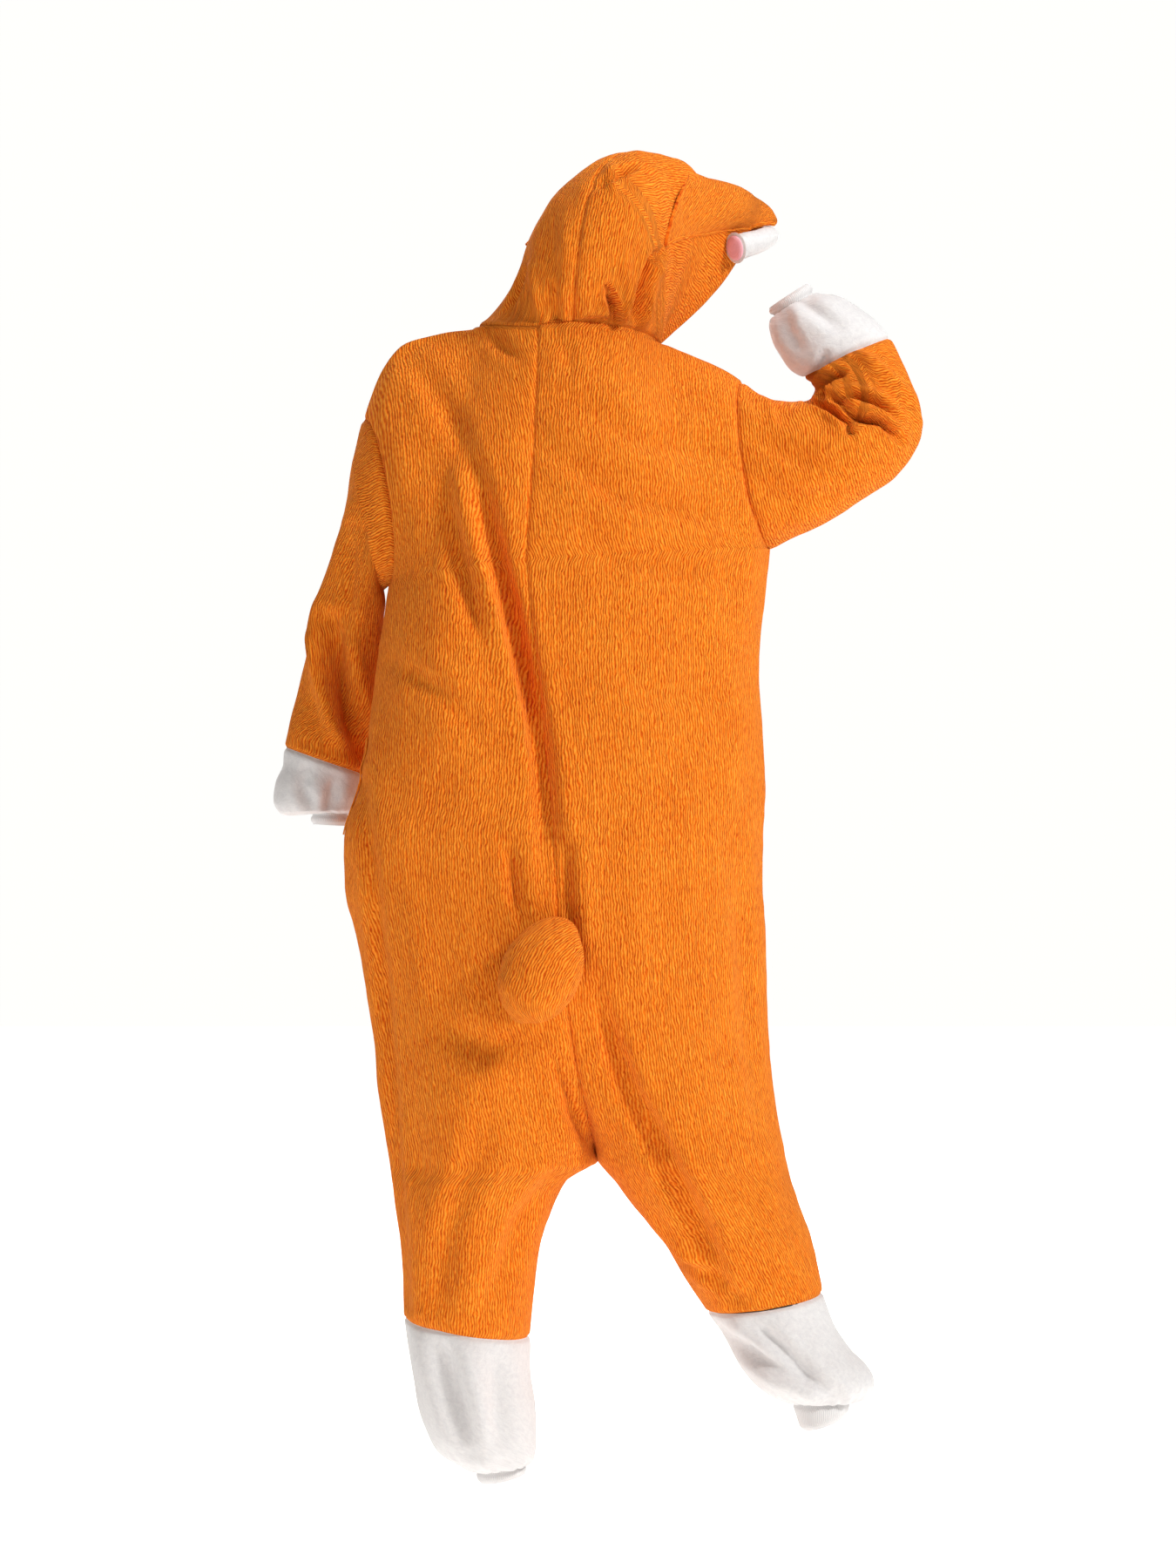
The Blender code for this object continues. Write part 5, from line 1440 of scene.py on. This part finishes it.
def soft_rings(rings, height, size, cap):
    """Padding: an uneven skin, and rounded ends of the given length."""
    centre = rings.mean(axis=1, keepdims=True)
    outward = unit(rings - centre)
    rings = rings + outward * (height * lattice_noise(rings / size))[..., None]
    ends = []
    for first, second in ((0, 1), (-1, -2)):
        heading = unit(rings[first].mean(axis=0) - rings[second].mean(axis=0))
        middle = rings[first].mean(axis=0)
        ends.append([middle + (rings[first] - middle) * math.cos(a) + heading * cap * math.sin(a)
                     for a in np.linspace(0.25, 1.35, 6)])
    return np.concatenate([np.array(ends[0])[::-1], rings, np.array(ends[1])])


def lip_pad(name, rings, at_start, wide=1.0, high=1.0):
    """A domed oval on one end of the lip."""
    first, second = (rings[0], rings[1]) if at_start else (rings[-1], rings[-2])
    centre = first.mean(axis=0)
    outward = unit(centre - second.mean(axis=0))
    profile = [(0.60, 0.0), (0.76, 0.2), (0.80, 0.5), (0.74, 0.78), (0.55, 0.95), (0.25, 1.02), (0.05, 1.03)]
    stretch = np.array([wide, wide, wide * PAD_HEIGHT])
    pad = [centre + (first - centre) * size * stretch + outward * (0.0015 + 0.0052 * high * height)
           for size, height in profile]
    return tube_mesh(name, np.array(pad))


def dress_panels(panels, orange, white):
    ribs = rib_knit()
    for name, panel in panels.items():
        inner = panel["outer"] - panel["normals"] * panel["wall"]
        hanging = panel["grid"] if name.startswith(("back", "front")) else None
        turned = name == "sleeve_right"
        thing = sheet_mesh("cloth_" + name, panel["outer"], inner, panel["closed"], turned, hanging)
        finish = ribs if name.startswith(("cuff", "ankle")) else white if "_end_" in name else orange
        place(thing, name, finish)


def dress_snout(orange):
    upper, lower = snout_surfaces()
    snout = place(sheet_mesh("padded_snout", upper, lower, False, turned=True), "snout", orange)
    for side, column in (("left", 0), ("right", -1)):
        line = (upper[:, column] + lower[:, column]) / 2
        belong(piping("snout_edge_" + side, line, SNOUT_EDGE_RADIUS), orange)


def dress_lip(white, pink):
    rings = lip_rings()
    lip = place(tube_mesh("padded_lip", soft_rings(rings, *LIP_SOFT)), "snout_lip", white)
    for name, at_start in (("lip_end_right", True), ("lip_end_left", False)):
        place(lip_pad("padded_" + name, rings, at_start), name, pink)
        belong(lip_pad("padded_%s_rim" % name, rings, at_start, *RIM_SIZE), white)


def dress_tail(orange):
    tail = tail_rings()
    turn = np.arange(TAIL_SIDES) / TAIL_SIDES * 2 * math.pi
    seam = sum(np.exp(-((turn - at) / TAIL_SEAM_TURN)**2) for at in (0.0, math.pi, 2 * math.pi))
    middle = tail.mean(axis=1, keepdims=True)
    tail = tail - unit(tail - middle) * TAIL_SEAM_DIP * seam[None, :, None]
    tail = place(tube_mesh("padded_tail", soft_rings(tail, *TAIL_SOFT)), "tail", orange)


def say_cuts():
    for line in CUTS.strip().splitlines()[1:]:
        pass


def dress_buttons(cover, ways, thread):
    """The buttons down the middle of the placket's outer face."""
    plastic = moulded()
    # The holes are near-black discs: painted shade where the holes would be.
    dark = plain_thread("button_hole", (0.03, 0.02, 0.015))
    middle = cover[:, cover.shape[1] // 2]
    facing = ways[:, cover.shape[1] // 2]
    for k in range(BUTTON_COUNT):
        node = "button_%d" % (k + 1)
        low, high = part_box(node)
        height = (low[2] + high[2]) / 2
        spot = point_along(-middle[:, 2], middle, -height)
        normal = unit(point_along(-middle[:, 2], facing, -height))
        across = np.array([1.0, 0, 0])
        across = unit(across - normal * (across @ normal))
        body, holes, cross = button_mesh("fastener_%d" % (k + 1), spot + normal * BUTTON_LIFT, normal, across)
        place(body, node, plastic)
        belong(holes, dark)
        belong(cross, thread)


def dress():
    orange = crinkled_fleece()
    white = smooth_fleece()
    pink = smooth_fleece("pink_fleece", (0.66, 0.27, 0.33), (0.84, 0.44, 0.50))
    panels = cloth_panels()
    dress_panels(panels, orange, white)
    dress_snout(orange)
    dress_lip(white, pink)
    dress_tail(orange)
    base = placket_base(panels)
    placket, ways = strip("cloth_placket", base, PLACKET_LIFT, PLACKET_WALL, PLACKET_TOWARDS)
    place(placket, "placket", orange)
    welt, _ = strip("cloth_pocket_welt", welt_base(panels), WELT_LIFT, WELT_WALL, WELT_TOWARDS)
    place(welt, "pocket_welt", orange)
    say_cuts()
    cover = base + ways * (PLACKET_LIFT + PLACKET_WALL)
    thread = plain_thread("orange_thread", (0.74, 0.20, 0.015))
    for side, column in (("left", 1), ("right", -2)):
        belong(stitches("placket_stitches_" + side, cover[:, column], ways[:, column], *STITCH_SIZE),
               thread)
    dress_buttons(cover, ways, thread)


# Camera, light and floor

def studio():
    camera = bpy.data.cameras.new("camera")
    camera.lens = CAMERA_LENS
    camera.sensor_width = 36.0
    camera.sensor_fit = "AUTO"
    holder = bpy.data.objects.new("camera", camera)
    holder.location = CAMERA_AT
    holder.rotation_euler = (math.pi / 2, 0, 0)
    bpy.context.scene.collection.objects.link(holder)
    bpy.context.scene.camera = holder
    bpy.context.scene.view_settings.view_transform = "Standard"
    for name, at, size, power, tint in LAMPS:
        lamp = bpy.data.lights.new(name, "AREA")
        lamp.shape = "DISK"
        lamp.size = size
        lamp.energy = power
        lamp.color = tint
        thing = bpy.data.objects.new(name, lamp)
        thing.location = at
        aim = np.array([0.0, 0.0, -0.5]) - np.array(at)
        yaw = math.atan2(aim[1], aim[0]) - math.pi / 2
        pitch = math.atan2(aim[2], math.hypot(aim[0], aim[1])) + math.pi / 2
        thing.rotation_euler = (pitch, 0, yaw)
        bpy.context.scene.collection.objects.link(thing)
    world = bpy.data.worlds.new("studio")
    world.use_nodes = True
    world.node_tree.nodes["Background"].inputs["Color"].default_value = WORLD_COLOUR
    world.node_tree.nodes["Background"].inputs["Strength"].default_value = WORLD_STRENGTH
    bpy.context.scene.world = world
    corners = [(x * FLOOR_HALF, y * FLOOR_HALF, z) for z in (FLOOR_Z - FLOOR_THICK, FLOOR_Z)
               for x, y in ((-1, -1), (1, -1), (1, 1), (-1, 1))]
    floor = mesh_object("floor", corners, [[3, 2, 1, 0], [4, 5, 6, 7], [0, 1, 5, 4], [1, 2, 6, 5],
                                           [2, 3, 7, 6], [3, 0, 4, 7]])
    m = Nodes("pale_floor", 0.8)
    where = m.add("ShaderNodeTexCoord").outputs["Object"]
    mottle = m.noise(where, 3.0, 3.0)
    m.shader.inputs["Emission Color"].default_value = PALE
    m.shader.inputs["Emission Strength"].default_value = FLOOR_GLOW
    colour = m.colours(mottle, (0.3, (0.90, 0.90, 0.88)), (0.7, (0.93, 0.93, 0.91)))
    floor.data.materials.append(m.finish(colour, m.bump(mottle, 0.05, 0.001)))
    backdrop()


def backdrop():
    """A white surround that the camera sees and that lights nothing."""
    work = bmesh.new()
    bmesh.ops.create_uvsphere(work, u_segments=48, v_segments=24, radius=BACKDROP_RADIUS)
    bmesh.ops.reverse_faces(work, faces=work.faces)
    mesh = bpy.data.meshes.new("backdrop")
    work.to_mesh(mesh)
    work.free()
    thing = bpy.data.objects.new("backdrop", mesh)
    bpy.context.scene.collection.objects.link(thing)
    for rays in ("diffuse", "glossy", "transmission", "volume_scatter", "shadow"):
        setattr(thing, "visible_" + rays, False)
    m = Nodes("white_surround", 1.0)
    m.shader.inputs["Base Color"].default_value = (0, 0, 0, 1)
    m.shader.inputs["Emission Color"].default_value = PALE
    m.shader.inputs["Emission Strength"].default_value = 1.0
    mesh.materials.append(m.material)


dress()
studio()
